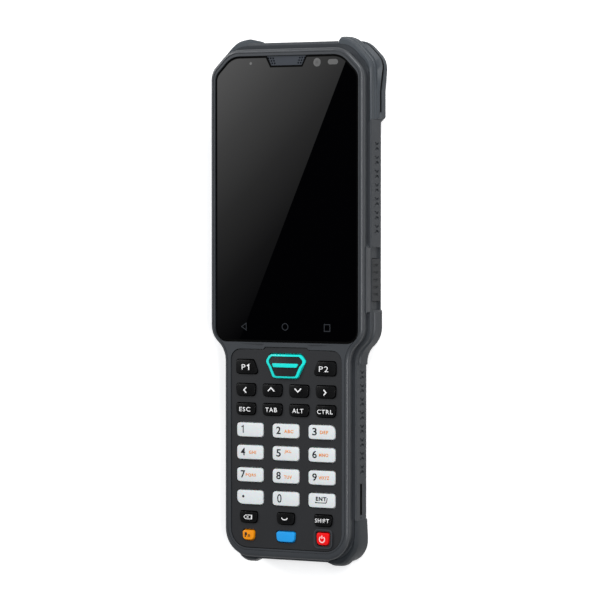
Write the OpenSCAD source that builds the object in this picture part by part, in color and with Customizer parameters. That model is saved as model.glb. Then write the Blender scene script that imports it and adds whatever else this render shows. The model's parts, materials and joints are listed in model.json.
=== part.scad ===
// Portable barcode data terminal, a one-hand computer with a wide screen head and a narrow keypad grip.
// It lies on its back: +X is its right side, +Y its head end, +Z comes out of the screen.
// All sizes are in millimetres.

/* [Body] */
// Length over the corner bumpers
overall_length = 230; // [224:0.1:236]
// Width across the side faces of the head
head_width = 77.8; // [76:0.1:82]
// Width across the side faces of the grip
grip_width = 63.4; // [61:0.1:66]
// Length of the grip, from its end face to the foot of the waist
grip_length = 87.2; // [84:0.1:90]
// Length of the waist, over which the grip widens to the head
waist_length = 15.3; // [13:0.1:20]
// Radius of the waist where it meets the head
waist_round = 10; // [7:0.5:12]
// Thickness of the body between its flat back and its front
body_thickness = 17; // [16:0.1:19]
// Height of the raised areas on the back
back_rise = 3; // [2.6:0.1:4]
// Depth of the joint between the housings, below the front
parting_depth = 6; // [5.6:0.1:6.6]
// Rounding of the front edge
front_round = 1.3; // [0.8:0.1:1.4]
// How much deeper that rounding is at the grip's end
end_slope = 1.3; // [0.6:0.1:1.6]
// How far the front housing's side leans in towards the joint
front_lean = 0.9; // [0.4:0.1:1]
// Rounding of the back edge
back_round = 2.4; // [1.8:0.1:3]
// Wall from a side face to the inside
wall = 3.2; // [2.8:0.1:3.6]
// Wall of the back
back_wall = 1.8; // [1.4:0.1:2]
// Depth of the groove along the joint between the housings
groove_depth = 1.1; // [0.6:0.1:1.3]
// Width of the fine line pressed round the front housing
line_width = 0.3; // [0.2:0.05:0.4]

/* [Corners] */
// Size of the cut across each upper corner
corner_cut = 10; // [8:0.5:12]
// Rounding from that cut to the side face
cut_side_round = 8.6; // [7:0.1:10]
// Rounding from that cut to the end face
cut_end_round = 12.4; // [10:0.1:15]
// Rounding of the lower corners
lower_round = 12.5; // [11:0.5:15]
// Setback of the front housing from the side faces
side_setback = 0.6; // [0.4:0.1:0.8]
// Setback of the front housing from the head's end face
top_setback = 3; // [2:0.1:4]
// Setback of the front housing from the grip's end face
bottom_setback = 1.4; // [0.8:0.1:2]

/* [Bumpers] */
// How far the upper bumpers stand out of the head's end face
upper_rise = 2.1; // [1:0.1:3]
// How far the lower bumpers stand out of the grip's end face
lower_rise = 1.6; // [0.8:0.1:2.5]
// How far a bumper stands out of the side face
bumper_side_rise = 0.4; // [0.2:0.1:0.6]
// How far the upper bumpers' rear bead stands out of the side face
bead_side_rise = 2.4; // [1:0.1:3]
// Depth to which a bumper is let into the housing
bumper_depth = 1.4; // [1:0.1:1.8]
// Half of the bare length of the head's end face, between the bumpers' front edges
upper_gap = 23.1; // [22:0.1:26]
// Half of the bare length of the grip's end face, between the bumpers
lower_gap = 18; // [16:0.1:18.5]
// Length of an upper bumper, down from the end face
upper_reach = 35.6; // [28:0.1:40]
// Length of a lower bumper, up from the end face
lower_reach = 19.4; // [16:0.1:24]
// Radius of the lower bumpers' corners
lower_bumper_round = 9.5; // [8:0.1:11]
// Width of the slot round the head between a bumper and its bead
slot_width = 1; // [0.6:0.1:1.2]
// Distance from the head's end face to the slot's lower end
slot_reach = 31; // [28:0.1:32]
// How far the pads round the waist stand out
pad_rise = 0.6; // [0.3:0.1:0.8]

/* [Screen] */
// Distance from the side face to the glass
glass_border = 3.1; // [2.8:0.1:4]
// Distance from the head's end face to the glass
glass_top = 6.1; // [5.6:0.1:7]
// Distance from the foot of the waist up to the glass
glass_foot = 8.5; // [8:0.1:12]
// Thickness of the glass
glass_thickness = 1.6; // [1:0.1:1.8]
// Depth of the glass below the front
glass_sink = 0.5; // [0.2:0.1:0.6]
// Gap round the glass and round the keypad panel
frame_gap = 0.25; // [0.1:0.05:0.3]
// Size of the cut across the glass's upper corners
glass_cut = 8.3; // [7:0.1:10]
// Rounding from that cut to the glass's side
glass_side_round = 5.5; // [4:0.1:7]
// Rounding from that cut to the glass's end
glass_end_round = 9.4; // [7:0.1:11]
// Rounding of the glass's lower corners
glass_lower_round = 5.5; // [4:0.1:7]
// Width of the ledge that carries the glass
glass_ledge = 2; // [1.5:0.1:2.4]
// Width of the ledge at the glass's upper end, which carries the sensors
sensor_ledge = 5.4; // [5:0.1:7]
// Thickness of the ledges
ledge_thickness = 1.7; // [1.4:0.1:2]
// Thickness of the display module
display_thickness = 1.6; // [1.2:0.1:1.6]
// Width of the earpiece at the edge of the glass
earpiece_width = 19.4; // [16:0.1:22]
// Width of the earpiece at its inner end
earpiece_base = 15.1; // [12:0.1:15.4]
// Depth of the earpiece, inwards from the edge of the glass
earpiece_depth = 4.1; // [3.5:0.1:4.5]
// Distance of the front camera from the middle
camera_x = 15.4; // [13:0.1:18]

/* [Keypad] */
// Distance from the grip's side face to the keypad panel
panel_border = 4; // [3.8:0.1:4.4]
// Distance from the grip's end face to the keypad panel
panel_bottom = 5.5; // [5:0.1:6.4]
// Distance from the foot of the waist up to the keypad panel's upper edge
panel_top = 5.1; // [4:0.1:5.4]
// Thickness of the keypad panel
panel_thickness = 1.6; // [1.2:0.1:1.8]
// Depth of the panel below the front
panel_sink = 0.3; // [0.1:0.1:0.4]
// Rounding of the panel's lower corners
panel_lower_round = 8; // [6:0.5:9]
// Rounding of the panel's upper corners
panel_upper_round = 4.5; // [3:0.5:6]
// Width of the tab in the middle of the panel's upper edge
tab_width = 21.6; // [18:0.1:26]
// Height of that tab
tab_rise = 1; // [0.5:0.1:1.6]
// Width of the ledge that carries the panel
panel_ledge = 1.4; // [1:0.1:1.8]
// Gap round each key
key_gap = 0.2; // [0.15:0.05:0.3]
// Travel of each key
key_travel = 0.6; // [0.4:0.1:0.8]
// How far the keys stand out of the panel
key_rise = 0.9; // [0.6:0.1:1.4]
// How far the scan key stands out of the panel
scan_rise = 1.6; // [1:0.1:2]
// Rounding of the keys' corners
key_round = 1.3; // [0.6:0.1:1.8]
// Distance from the panel's side to the middle of the outer black keys
black_margin = 7.6; // [7:0.05:9]
// Distance from the panel's side to the middle of the outer number keys
number_margin = 9.65; // [8.5:0.05:11]
// Distance from the panel's side to the middle of the outer keys in the lowest rows
lowest_margin = 8.95; // [7:0.05:10]
// Gap between two black keys in a row
black_gap = 3.4; // [2.6:0.1:5]
// Gap between two number keys in a row
number_gap = 4.7; // [3.6:0.1:6]
// Gap between two rows of number keys
number_row_gap = 3.5; // [2.4:0.1:4.5]

/* [Sides] */
// Length of a side key
side_key_length = 18.3; // [14:0.1:20]
// Distance from the foot of the waist up to the middle of the side keys
side_key_place = 35.8; // [34:0.1:40]
// Travel of a side key
side_key_travel = 0.5; // [0.3:0.1:0.6]
// Depth of the recess round a side key
recess_depth = 0.9; // [0.5:0.1:1.2]
// Length of that recess
recess_length = 27; // [24:0.1:30]
// Depth of the pressed grip marks
mark_depth = 0.6; // [0.3:0.1:0.8]
// Pitch of the grip marks on the head
head_mark_pitch = 5.95; // [5.5:0.05:6.5]
// Pitch of the grip marks on the grip
grip_mark_pitch = 5.87; // [5.5:0.05:6.2]
// Length of the narrow slot low on the right side
side_slot_length = 13.4; // [8:0.1:14]

/* [Back] */
// Width of the head hump
hump_width = 57; // [50:0.5:60]
// Length of the head hump
hump_length = 58; // [50:0.5:62]
// Width of the battery door
door_width = 55.2; // [53:0.1:56]
// Length of the battery door beyond the battery pack
door_margin = 10.6; // [10:0.1:12]
// Thickness of the battery pack
battery_thickness = 9; // [7:0.1:9.2]
// Width of the battery pack
battery_width = 50; // [44:0.1:50.5]
// Length of the battery pack
battery_length = 62.4; // [56:0.1:64]

/* [Inside] */
// Thickness of the metal midframe
midframe_thickness = 1.2; // [0.8:0.1:1.4]
// Thickness of the circuit boards
board_thickness = 1; // [0.8:0.1:1.2]
// Gap between the midframe and the main board
board_gap = 1.6; // [1.4:0.1:2]
// Running clearance between pieces that only lie side by side
fit = 0.1; // [0.05:0.05:0.15]

/* [Hidden] */
$fn = 48;

GREY = "#3f4246";
DARK = "#2b2c30";
PANEL = "#303134";
BLACK = "#0d0d0f";
PALE = "#dfe3e4";
TEAL = "#17d2ca";

// Levels, up from the surface that the terminal lies on
z_back = back_rise;
z_front = back_rise + body_thickness;
z_part = z_front - parting_depth;
z_seat = z_front - glass_sink - glass_thickness;
z_panel = z_front - panel_sink;
z_panel_seat = z_panel - panel_thickness;
z_under = min(z_seat, z_panel_seat) - ledge_thickness;
z_board = z_under - midframe_thickness - board_gap;
z_keyboard = z_under - board_thickness;
z_bay = z_back + 0.1 + battery_thickness + 0.2;
z_inside = z_back + back_wall;
over = 1;

// Lines across the body, from the middle of its length
y_top = overall_length / 2 - upper_rise;
y_bottom = -overall_length / 2 + lower_rise;
y_waist = y_bottom + grip_length;
y_head = y_waist + waist_length;
glass_y = y_top - glass_top;
glass_y0 = y_waist + glass_foot;
panel_y0 = y_bottom + panel_bottom;
panel_y1 = y_waist + panel_top;
half_head = head_width / 2;
half_grip = grip_width / 2;
half_glass = half_head - glass_border;
half_panel = half_grip - panel_border;
side_key_y = y_waist + side_key_place;

// The waist is two arcs that meet on a slope
waist_step = (head_width - grip_width) / 2;
waist_turn = 2 * atan(waist_step / waist_length);
waist_hollow = waist_length / sin(waist_turn) - waist_round;

// Battery bay and door, up from the foot at the end of the grip
door_y0 = y_bottom + 13;
door_length = battery_length + door_margin;
door_y1 = door_y0 + door_length;
bay_end = 5.8;
bay_y1 = door_y1 - bay_end;
battery_y1 = bay_y1 - 0.3;
hinge_z = 0.9;
door_sink = 0.3;

// Steps in the arcs of the outlines
ARC_STEPS = 5;
ROUND_STEPS = 4;

function arc(c, r, a0, a1, n = ARC_STEPS) =
    [for (i = [0:n]) c + r * [cos(a0 + (a1 - a0) * i / n), sin(a0 + (a1 - a0) * i / n)]];

function both_sides(right) =
    concat(right, [for (i = [len(right) - 1:-1:0]) [-right[i][0], right[i][1]]]);

// A corner of 90 degrees that is cut across at 45 and rounded at both ends of the cut
function cut_corner(x, y, cut, r_side, r_end) =
    let (k = sqrt(2) - 1)
    concat(arc([x - r_side, y - cut - k * r_side], r_side, 0, 45),
           arc([x - cut - k * r_end, y - r_end], r_end, 45, 90));

// How much a 45-degree cut shortens when the outline shrinks by one
CUT_SHRINK = 2 - sqrt(2);

// The body's outline, shrunk by side, top and bottom
function body_outline(side = 0, top = 0, bottom = 0, cut = corner_cut, r_side = cut_side_round,
                      r_end = cut_end_round, r_low = lower_round) =
    let (hw = half_head - side, gw = half_grip - side, rl = r_low - side)
    both_sides(concat(
        arc([gw - rl, y_bottom + bottom + rl], rl, -90, 0, 2 * ARC_STEPS),
        arc([half_grip + waist_hollow, y_waist], waist_hollow + side, 180, 180 - waist_turn),
        arc([half_head - waist_round, y_head], waist_round - side, -waist_turn, 0),
        cut_corner(hw, y_top - top, cut - CUT_SHRINK * side, r_side - side, r_end - side)));

// The front housing stands back from the end faces more than from the side faces
function front_outline(inset, slope = 0) =
    body_outline(inset, inset + top_setback - side_setback,
                 inset + bottom_setback - side_setback + slope);
function rear_outline(inset) = body_outline(inset, inset, inset);

function glass_outline(inset, top = 0) =
    both_sides(concat(
        arc([half_glass - glass_lower_round, glass_y0 + glass_lower_round],
            glass_lower_round - inset, -90, 0),
        cut_corner(half_glass - inset, glass_y - inset - top, glass_cut - CUT_SHRINK * inset,
                   glass_side_round - inset, glass_end_round - inset)));

function panel_outline(inset) =
    both_sides(concat(
        arc([half_panel - panel_lower_round, panel_y0 + panel_lower_round],
            panel_lower_round - inset, -90, 0, 2 * ARC_STEPS),
        arc([half_panel - panel_upper_round, panel_y1 - panel_upper_round],
            panel_upper_round - inset, 0, 90),
        [[tab_width / 2 + tab_rise / 2 - inset / 2, panel_y1 - inset],
         [tab_width / 2 - tab_rise / 2 - inset / 2, panel_y1 + tab_rise - inset]]));

// A rectangle with rounded corners, from y0 to y1
function block_outline(half, y0, y1, r, inset = 0) =
    both_sides(concat(
        arc([half - r, y0 + r], r - inset, -90, 0),
        arc([half - r, y1 - r], r - inset, 0, 90)));

// A convex polygon with its corners rounded, listed anticlockwise
function rounded_polygon(points, radii) =
    let (n = len(points))
    [for (i = [0:n - 1])
        let (p = points[i],
             a = points[(i + n - 1) % n] - p,
             b = points[(i + 1) % n] - p,
             ua = a / norm(a),
             ub = b / norm(b),
             half_angle = acos(ua * ub) / 2,
             bisector = (ua + ub) / norm(ua + ub),
             centre = p + bisector * radii[i] / sin(half_angle),
             start = atan2(-bisector[1], -bisector[0]) - (90 - half_angle),
             turn = 180 - 2 * half_angle)
        each arc(centre, radii[i], start, start + turn, ROUND_STEPS)];

// A closed solid through a stack of outlines, lowest first, each given as [height, outline].
// The outlines are alike on both sides, so each end is closed by strips from side to side.
module skin(layers) {
    n = len(layers[0][1]);
    last = (len(layers) - 1) * n;
    polyhedron(
        points = [for (layer = layers) for (p = layer[1]) [p[0], p[1], layer[0]]],
        faces = concat(
            [for (i = [0:n / 2 - 2]) [i, i + 1, n - 2 - i, n - 1 - i]],
            [for (i = [0:n / 2 - 2]) [last + n - 1 - i, last + n - 2 - i, last + i + 1, last + i]],
            [for (k = [0:len(layers) - 2]) for (i = [0:n - 1])
                [k * n + i, (k + 1) * n + i, (k + 1) * n + (i + 1) % n, k * n + (i + 1) % n]]),
        convexity = 6);
}

module prism(outline, z0, z1) {
    translate([0, 0, z0]) linear_extrude(z1 - z0) polygon(outline);
}

module box(x0, x1, y0, y1, z0, z1) {
    translate([x0, y0, z0]) cube([x1 - x0, y1 - y0, z1 - z0]);
}

module pair() {
    children();
    mirror([1, 0, 0]) children();
}

// Screws: a pair in the head, a pair above the waist, and a pair at the end of the grip
screw_inset = wall + 2.5;
boss_r = 2.6;
// The room at the end of the grip stops short of the battery door
end_room_y = door_y0 - 1.2;
screw_places = [
    [half_head - screw_inset, y_top - 22.6],
    [half_head - screw_inset, y_head + 5],
    [half_grip - screw_inset + 0.2, end_room_y - boss_r + 0.7]];
screw_r = 1.1;
screw_head_r = 2.1;
screw_head_sink = 0.6;
screw_head_height = 1.4;
screw_tip = z_under - 0.5;

module at_screws() {
    pair() for (p = screw_places) translate([p[0], p[1], 0]) children();
}

// ---------------------------------------------------------------- housings

// The front housing: the frame round the glass and the panel. Its shoulder leans in towards the joint.
module front_housing() {
    shoulder = z_front - front_round;
    layers = concat(
        [[z_part, front_outline(side_setback + front_lean)],
         [z_part + 0.7, front_outline(side_setback + front_lean)],
         [shoulder - 0.4, front_outline(side_setback + 0.1)]],
        [for (i = [0:ROUND_STEPS]) let (a = 90 * i / ROUND_STEPS)
            [shoulder + front_round * sin(a),
             front_outline(side_setback + front_round * (1 - cos(a)), end_slope * (1 - cos(a)))]]);
    color(GREY) difference() {
        union() {
            skin(layers);
            key_guards();
        }
        front_line();
        chin_relief();
        prism(glass_outline(-frame_gap), z_seat, z_front + over);
        prism(display_opening(), z_part - over, z_seat + 0.5);
        prism(panel_outline(-frame_gap), z_panel_seat, z_front + over);
        prism(panel_outline(panel_ledge), z_part - over, z_panel_seat + 0.5);
        difference() {
            prism(front_outline(wall), z_part - over, z_under);
            at_screws() cylinder(r = boss_r, h = z_front);
        }
        at_screws() cylinder(r = screw_r + fit / 2, h = screw_tip + 0.1);
        translate([camera_x, sensor_y, z_part]) cylinder(r = camera_r + fit, h = z_seat + 0.5 - z_part);
        box(-earpiece_hole / 2, earpiece_hole / 2, sensor_y - 1, sensor_y + 1.4, z_part, z_seat + 0.5);
    }
}

// The fine line between the front's rounding and the flat lip round the glass and the panel
module front_line() {
    inset = side_setback + front_round + 0.2;
    difference() {
        prism(front_outline(inset, end_slope), z_front - 0.3, z_front + over);
        prism(front_outline(inset + line_width, end_slope), 0, z_front + 2 * over);
    }
}

// Rims along the front of the side keys' recesses, with slanted ends
guard_length = recess_length + 5;
guard_z1 = z_front - 2.9;

module key_guards() {
    y0 = side_key_y - guard_length / 2 + 0.6;
    y1 = y0 + guard_length;
    intersection() {
        skin([[z_part, rear_outline(0.1)], [guard_z1 - 0.5, rear_outline(0.1)],
              [guard_z1, rear_outline(0.6)]]);
        pair() prism([[half_head - 2.4, y0], [half_head + over, y0 + 2.6],
                      [half_head + over, y1 - 4.4], [half_head - 2.4, y1]], 0, z_front);
    }
}

// Shallow slopes in the frame between the glass and the panel, on both sides of the panel's tab
module chin_relief() {
    x0 = tab_width / 2 - 0.2;
    depth = 0.45;
    pair() translate([0, panel_y1 - over, 0]) rotate([90, 0, 0]) mirror([0, 0, 1])
        linear_extrude(glass_y0 - 0.9 - panel_y1 + over)
            polygon([[x0, z_front + over], [x0 + 0.3, z_front], [x0 + 1.5, z_front - depth],
                     [x0 + 13, z_front], [x0 + 13, z_front + over]]);
}

sensor_y = glass_y - 3.2;
camera_r = 1.7;
earpiece_hole = 11;

function display_opening() = glass_outline(glass_ledge, sensor_ledge - glass_ledge);

// The rear housing: side faces, back, head hump and battery bay
module rear_housing() {
    crown = 0.9;
    layers = concat(
        [for (i = [0:ROUND_STEPS]) let (a = 90 * i / ROUND_STEPS)
            [z_back + back_round * (1 - cos(a)), rear_outline(back_round * (1 - sin(a)))]],
        [for (i = [0:ROUND_STEPS]) let (a = 90 * i / ROUND_STEPS, t = 1 - cos(a))
            [z_part - crown + crown * sin(a), body_outline(0.4 * t, t, 0.8 * t)]]);
    color(GREY) difference() {
        union() {
            difference() {
                skin(layers);
                bumper_seats();
            }
            waist_pads();
            raised(hump_half, hump_y0, hump_y1, hump_round);
            raised(foot_half, foot_y0, foot_y1, foot_round);
        }
        head_cavity();
        end_cavity();
        battery_bay();
        door_catches();
        side_recesses();
        grip_marks();
        screw_holes();
        joint_groove();
        gasket_groove();
        scan_opening();
        camera_bore();
        speaker_slots();
        contact_holes();
        usb_recess();
        side_slot();
    }
}

hump_half = hump_width / 2;
hump_y1 = y_top - 5;
hump_y0 = hump_y1 - hump_length;
hump_round = 9;
foot_half = 21;
foot_y0 = y_bottom + 3.6;
foot_y1 = door_y0 - 0.6;
foot_round = 3.5;

// A raised area of the back with a rounded edge
module raised(half, y0, y1, r) {
    edge = back_rise;
    skin([for (i = [0:ROUND_STEPS]) let (a = 90 * i / ROUND_STEPS)
        [i == ROUND_STEPS ? z_back + over : edge * (1 - cos(a)),
         block_outline(half, y0, y1, r, edge * (1 - sin(a)))]]);
}

// The inside, with a ledge under the gasket at both ends
seal_ledge = 1.8;

module inner_room(z0) {
    prism(rear_outline(wall), z0, z_part - seal_ledge);
    prism(front_outline(wall), z_part - seal_ledge - 0.2, z_part + over);
}

module head_cavity() {
    difference() {
        intersection() {
            inner_room(z_inside);
            box(-half_head, half_head, y_head - 6, y_top, 0, z_front);
        }
        at_screws() cylinder(r = boss_r, h = z_front);
    }
    difference() {
        prism(block_outline(hump_half - 3, hump_y0 + 3, rear_camera_y + 11, 6), back_wall, z_inside + over);
        translate([0, rear_camera_y, 0]) cylinder(r = window_r + 1.4, h = z_inside);
    }
}

// Room for the connector at the end of the grip
module end_cavity() {
    difference() {
        intersection() {
            inner_room(usb_board_z);
            box(-half_grip, half_grip, y_bottom, end_room_y, 0, z_front);
        }
        at_screws() cylinder(r = boss_r, h = z_front);
    }
}

module battery_bay() {
    prism(block_outline(battery_width / 2 + 0.25, battery_y1 - battery_length - 1, bay_y1, 2),
          -over, z_bay);
    // shallow space over the bay for the keypad board's parts
    intersection() {
        prism(rear_outline(wall), z_bay + 1.1, z_part + over);
        box(-half_grip, half_grip, door_y0 + 1.2, y_head - 8, 0, z_front);
    }
}

hook_x = 14;
hook_width = 8;
hook_skin = 1;
snap_width = 12;

// Pockets for the door's hooks, which reach in under the back's skin, and for its snap tongue
module door_catches() {
    x0 = hook_x - hook_width / 2 - 0.3;
    x1 = hook_x + hook_width / 2 + 0.3;
    pair() {
        box(x0, x1, door_y1 - 4.5, door_y1 - 0.1, z_back - over, z_back + 2.4);
        box(x0, x1, door_y1 - 1, door_y1 + 1.6, z_back + hook_skin, z_back + 2.4);
    }
    box(-snap_width / 2 - 0.3, snap_width / 2 + 0.3, door_y0 + 0.4, door_y0 + 2.1,
        z_back - over, z_back + 2.4);
}

module side_recesses() {
    pair() {
        box(half_head - recess_depth, half_head + over,
            side_key_y - recess_length / 2 + 0.6, side_key_y + recess_length / 2 + 0.6,
            side_key_z0 - 0.5, side_key_z1 + side_key_gap);
        box(half_head - wall - over, half_head + over,
            side_key_y - side_key_length / 2 - key_gap, side_key_y + side_key_length / 2 + key_gap,
            side_key_z0 - side_key_gap, side_key_z1 + side_key_gap);
    }
}

side_key_z0 = z_back + 2.9;
side_key_z1 = z_part - 0.75;
side_key_gap = 0.1;

// One grip mark: a V pressed into the side face
module mark(x, y, flip) {
    across = 3.5;
    along = 1.6;
    line = 0.95;
    translate([x - mark_depth, y, mark_z])
        rotate([90, 0, 90])
            linear_extrude(mark_depth + over)
                mirror([flip, 0])
                    polygon([[-along / 2, -across / 2], [line - along / 2, -across / 2],
                             [along / 2, -across / 6], [along / 2, across / 6],
                             [line - along / 2, across / 2], [-along / 2, across / 2],
                             [along / 2 - line, across / 6], [along / 2 - line, -across / 6]]);
}

mark_z = z_front - 11.5;
mark_gap = 2.5;
// The head's marks fill its side face between the upper bumper and the side keys' recess
head_mark_y1 = y_top - upper_reach - 8.7;
head_mark_y0 = side_key_y + recess_length / 2 + 6;
head_marks = floor((head_mark_y1 - mark_gap - head_mark_y0) / head_mark_pitch) + 1;
// The grip's marks fill its side face between the waist and the slot
side_slot_y = y_bottom + 27.8;
grip_mark_y1 = y_waist - 4.1;
grip_mark_y0 = side_slot_y + side_slot_length / 2 + 2;
grip_marks_count = floor((grip_mark_y1 - mark_gap - grip_mark_y0) / grip_mark_pitch) + 1;

module grip_marks() {
    pair() {
        for (i = [0:head_marks - 1]) {
            y = head_mark_y1 - i * head_mark_pitch;
            mark(half_head, y, 1);
            mark(half_head, y - mark_gap, 0);
        }
        for (i = [0:grip_marks_count - 1]) {
            y = grip_mark_y1 - i * grip_mark_pitch;
            mark(half_grip, y, 1);
            mark(half_grip, y - mark_gap, 0);
        }
    }
}

module screw_holes() {
    at_screws() {
        cylinder(r = screw_r + 0.15, h = z_front);
        cylinder(r = screw_head_r + 0.2, h = z_back + screw_head_sink + screw_head_height);
    }
}

// The groove between the rear housing's rim and the foot of the front housing, left out at the side keys
module joint_groove() {
    foot = side_setback + front_lean;
    difference() {
        skin([[z_part - groove_depth, front_outline(foot - 0.1)],
              [z_part + 0.2, body_outline(0.35, top_setback * 0.3, bottom_setback * 0.5)]]);
        prism(front_outline(foot), 0, z_front);
        pair() box(half_head - wall, half_head + over, side_key_y - guard_length / 2,
                   side_key_y + guard_length / 2, 0, z_front);
    }
}

gasket_in = side_setback + front_lean + 0.4;
gasket_width = 0.8;
gasket_height = 0.5;

module gasket_ring(grow, z0, z1) {
    difference() {
        prism(seal_outline(gasket_in - grow), z0, z1);
        prism(seal_outline(gasket_in + gasket_width + grow), z0 - over, z1 + over);
    }
}

function seal_outline(inset) = front_outline(inset);

module gasket_groove() {
    gasket_ring(fit, z_part - gasket_height, z_part + over);
}

scan_half = 15.5;
scan_z0 = z_back + 2.4;
scan_z1 = z_part - 2;

module scan_opening() {
    box(-scan_half - fit, scan_half + fit, y_top - 2.4, y_top + over, scan_z0 - fit, scan_z1 + fit);
    box(-scan_half + 1.4, scan_half - 1.4, y_top - wall - over, y_top, scan_z0 + 1.2, scan_z1 - 1.2);
}

rear_camera_y = hump_y1 - 23;
window_r = 7;
window_sink = 0.5;
window_thickness = 1.1;
lens_r = 5.3;

module camera_bore() {
    translate([0, rear_camera_y, -over]) {
        cylinder(r = window_r + fit, h = over + window_sink + window_thickness + 0.1);
        cylinder(r = lens_r + 0.2, h = z_front);
    }
}

speaker_x = -14;
speaker_y = hump_y0 + 17;
speaker_slots_count = 5;

module speaker_slots() {
    for (i = [0:speaker_slots_count - 1])
        box(speaker_x - 6, speaker_x + 6,
            speaker_y + (i - 2) * 2.6 - 0.6, speaker_y + (i - 2) * 2.6 + 0.6, -over, back_wall + over);
}

contact_pitch = 5;
contact_r = 1.3;
contact_y = (foot_y0 + foot_y1) / 2;

module at_contacts() {
    for (i = [-1.5:1:1.5]) translate([i * contact_pitch, contact_y, 0]) children();
}

module contact_holes() {
    at_contacts() translate([0, 0, -over]) cylinder(r = contact_r + fit / 2, h = over + 2.4);
}

usb_half = 4.6;
usb_height = 3.3;
usb_board_z = z_back + 5;
usb_z = usb_board_z + board_thickness;
flap_x0 = -7.4;
flap_x1 = 8.2;
flap_z0 = usb_z - 2;
flap_z1 = usb_z + usb_height + 0.8;
flap_thickness = 1.8;
flap_hinge_x = flap_x0 + flap_thickness / 2;
flap_hinge_y = y_bottom + flap_thickness / 2;
pin_r = 0.4;

module usb_recess() {
    box(flap_x0 - 0.25, flap_x1 + 0.2, y_bottom - over, y_bottom + flap_thickness + 0.2,
        flap_z0 - 0.2, flap_z1 + 0.2);
    box(-usb_half - fit, usb_half + fit, y_bottom, y_bottom + wall + over,
        usb_z, usb_z + usb_height + fit);
    translate([flap_hinge_x, flap_hinge_y, flap_z0 - 1])
        cylinder(r = pin_r, h = flap_z1 - flap_z0 + 1.7);
}

module side_slot() {
    box(half_grip - 1.6, half_grip + over, side_slot_y - side_slot_length / 2,
        side_slot_y + side_slot_length / 2, mark_z + 0.4, mark_z + 1.6);
    // a round pip under the slot
    translate([half_grip - 0.5, side_slot_y - side_slot_length / 2 - 1.3, mark_z + 1])
        rotate([0, 90, 0]) cylinder(r = 0.45, h = 2, $fn = 20);
}

// Raised pads that run round the waist and over the back's rounding, up to the side keys' recess
module waist_pads() {
    pad_z1 = z_front - 8.6;
    y0 = y_waist - 1;
    y1 = side_key_y - recess_length / 2 + 0.4;
    intersection() {
        skin(concat(
            [for (i = [1:ROUND_STEPS]) let (a = 90 * i / ROUND_STEPS)
                [z_back + back_round * (1 - cos(a)), rear_outline(back_round * (1 - sin(a)) - pad_rise)]],
            [[pad_z1 - 0.6, rear_outline(-pad_rise)], [pad_z1, rear_outline(0.2)]]));
        pair() prism([[half_grip - wall, y0], [half_grip + pad_rise, y0], [half_head, y0 + 8],
                      [half_head + over, y1 - 1.2], [half_head - 0.4, y1], [half_grip - wall, y1]],
                     0, z_front);
    }
}

// ---------------------------------------------------------------- bumpers

bumper_cut = 10.5;
bead_cut = 7.2;

// The upper bumper's outline. Lower values of side and end and higher ones of cut draw it in.
function bumper_outline(side, end, cut) =
    body_outline(-side, -end, 0, cut = bumper_cut + cut, r_side = 8.2, r_end = 11);

function bead_outline(inset) =
    body_outline(inset - bead_side_rise, inset - 0.2, inset,
                 cut = bead_cut, r_side = 6, r_end = 8);

bumper_z0 = z_back - 0.6;
bumper_z1 = z_part - 0.2;
slot_z1 = z_front - 13.3;
slot_z0 = slot_z1 - slot_width;

// From the bead at the back, over the slot's edge, up two terraces to the front edge
upper_layers = let (side = bumper_side_rise, end = upper_rise) [
    [bumper_z0, bead_outline(1.8)],
    [bumper_z0 + 0.3, bead_outline(0.9)],
    [bumper_z0 + 0.9, bead_outline(0.2)],
    [bumper_z0 + 1.5, bead_outline(0)],
    [slot_z0 - 0.4, bead_outline(0)],
    [slot_z0 + 0.1, bead_outline(0.4)],
    [slot_z1 - 0.1, bumper_outline(side - 0.2, end - 0.2, 0)],
    [slot_z1 + 0.4, bumper_outline(side, end, 0)],
    [slot_z1 + 1.5, bumper_outline(side, end, 0)],
    [slot_z1 + 1.8, bumper_outline(side - 0.25, end, 0.3)],
    [slot_z1 + 3.6, bumper_outline(side - 0.1, end - 0.1, 0.4)],
    [slot_z1 + 4, bumper_outline(side - 0.4, end - 0.4, 0.6)],
    [bumper_z1 - 1, bumper_outline(side - 0.25, end - 0.5, 0.5)],
    [bumper_z1 - 0.4, bumper_outline(side - 0.4, end - 0.9, 0.4)],
    [bumper_z1, bumper_outline(side - 1, end - 1.5, -0.1)]];

// Plan of the corner that an upper bumper covers, grown by a gap on the housing's side
function upper_corner(gap) =
    let (y_end = y_top - upper_reach, far = half_head + bead_side_rise + over, x0 = upper_gap - 9)
    [[x0, y_end - gap], [half_head - bumper_depth - 0.4, y_end - gap],
     [half_head + 1, y_end + 2.6 - gap], [half_head + 1, y_end + 14],
     [half_head + bead_side_rise + 0.3, y_end + 27], [far, y_end + 32], [far, y_top + upper_rise + over],
     [x0, y_top + upper_rise + over]];

// The upper bumper's inner end leans towards the middle at the back, by this share of its height
UPPER_LEAN = 0.56;

function upper_end(z) = upper_gap - UPPER_LEAN * (z_part - z);

// The room that an upper bumper takes in the housing
module upper_room(gap, z1) {
    intersection() {
        prism(upper_corner(gap), bumper_z0 - gap, z1);
        translate([0, y_top + 5, 0]) rotate([90, 0, 0]) linear_extrude(upper_reach + 10)
            polygon([[upper_end(0) - gap, 0], [half_head + 5, 0], [half_head + 5, z_front],
                     [upper_end(z_front) - gap, z_front]]);
    }
}

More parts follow.
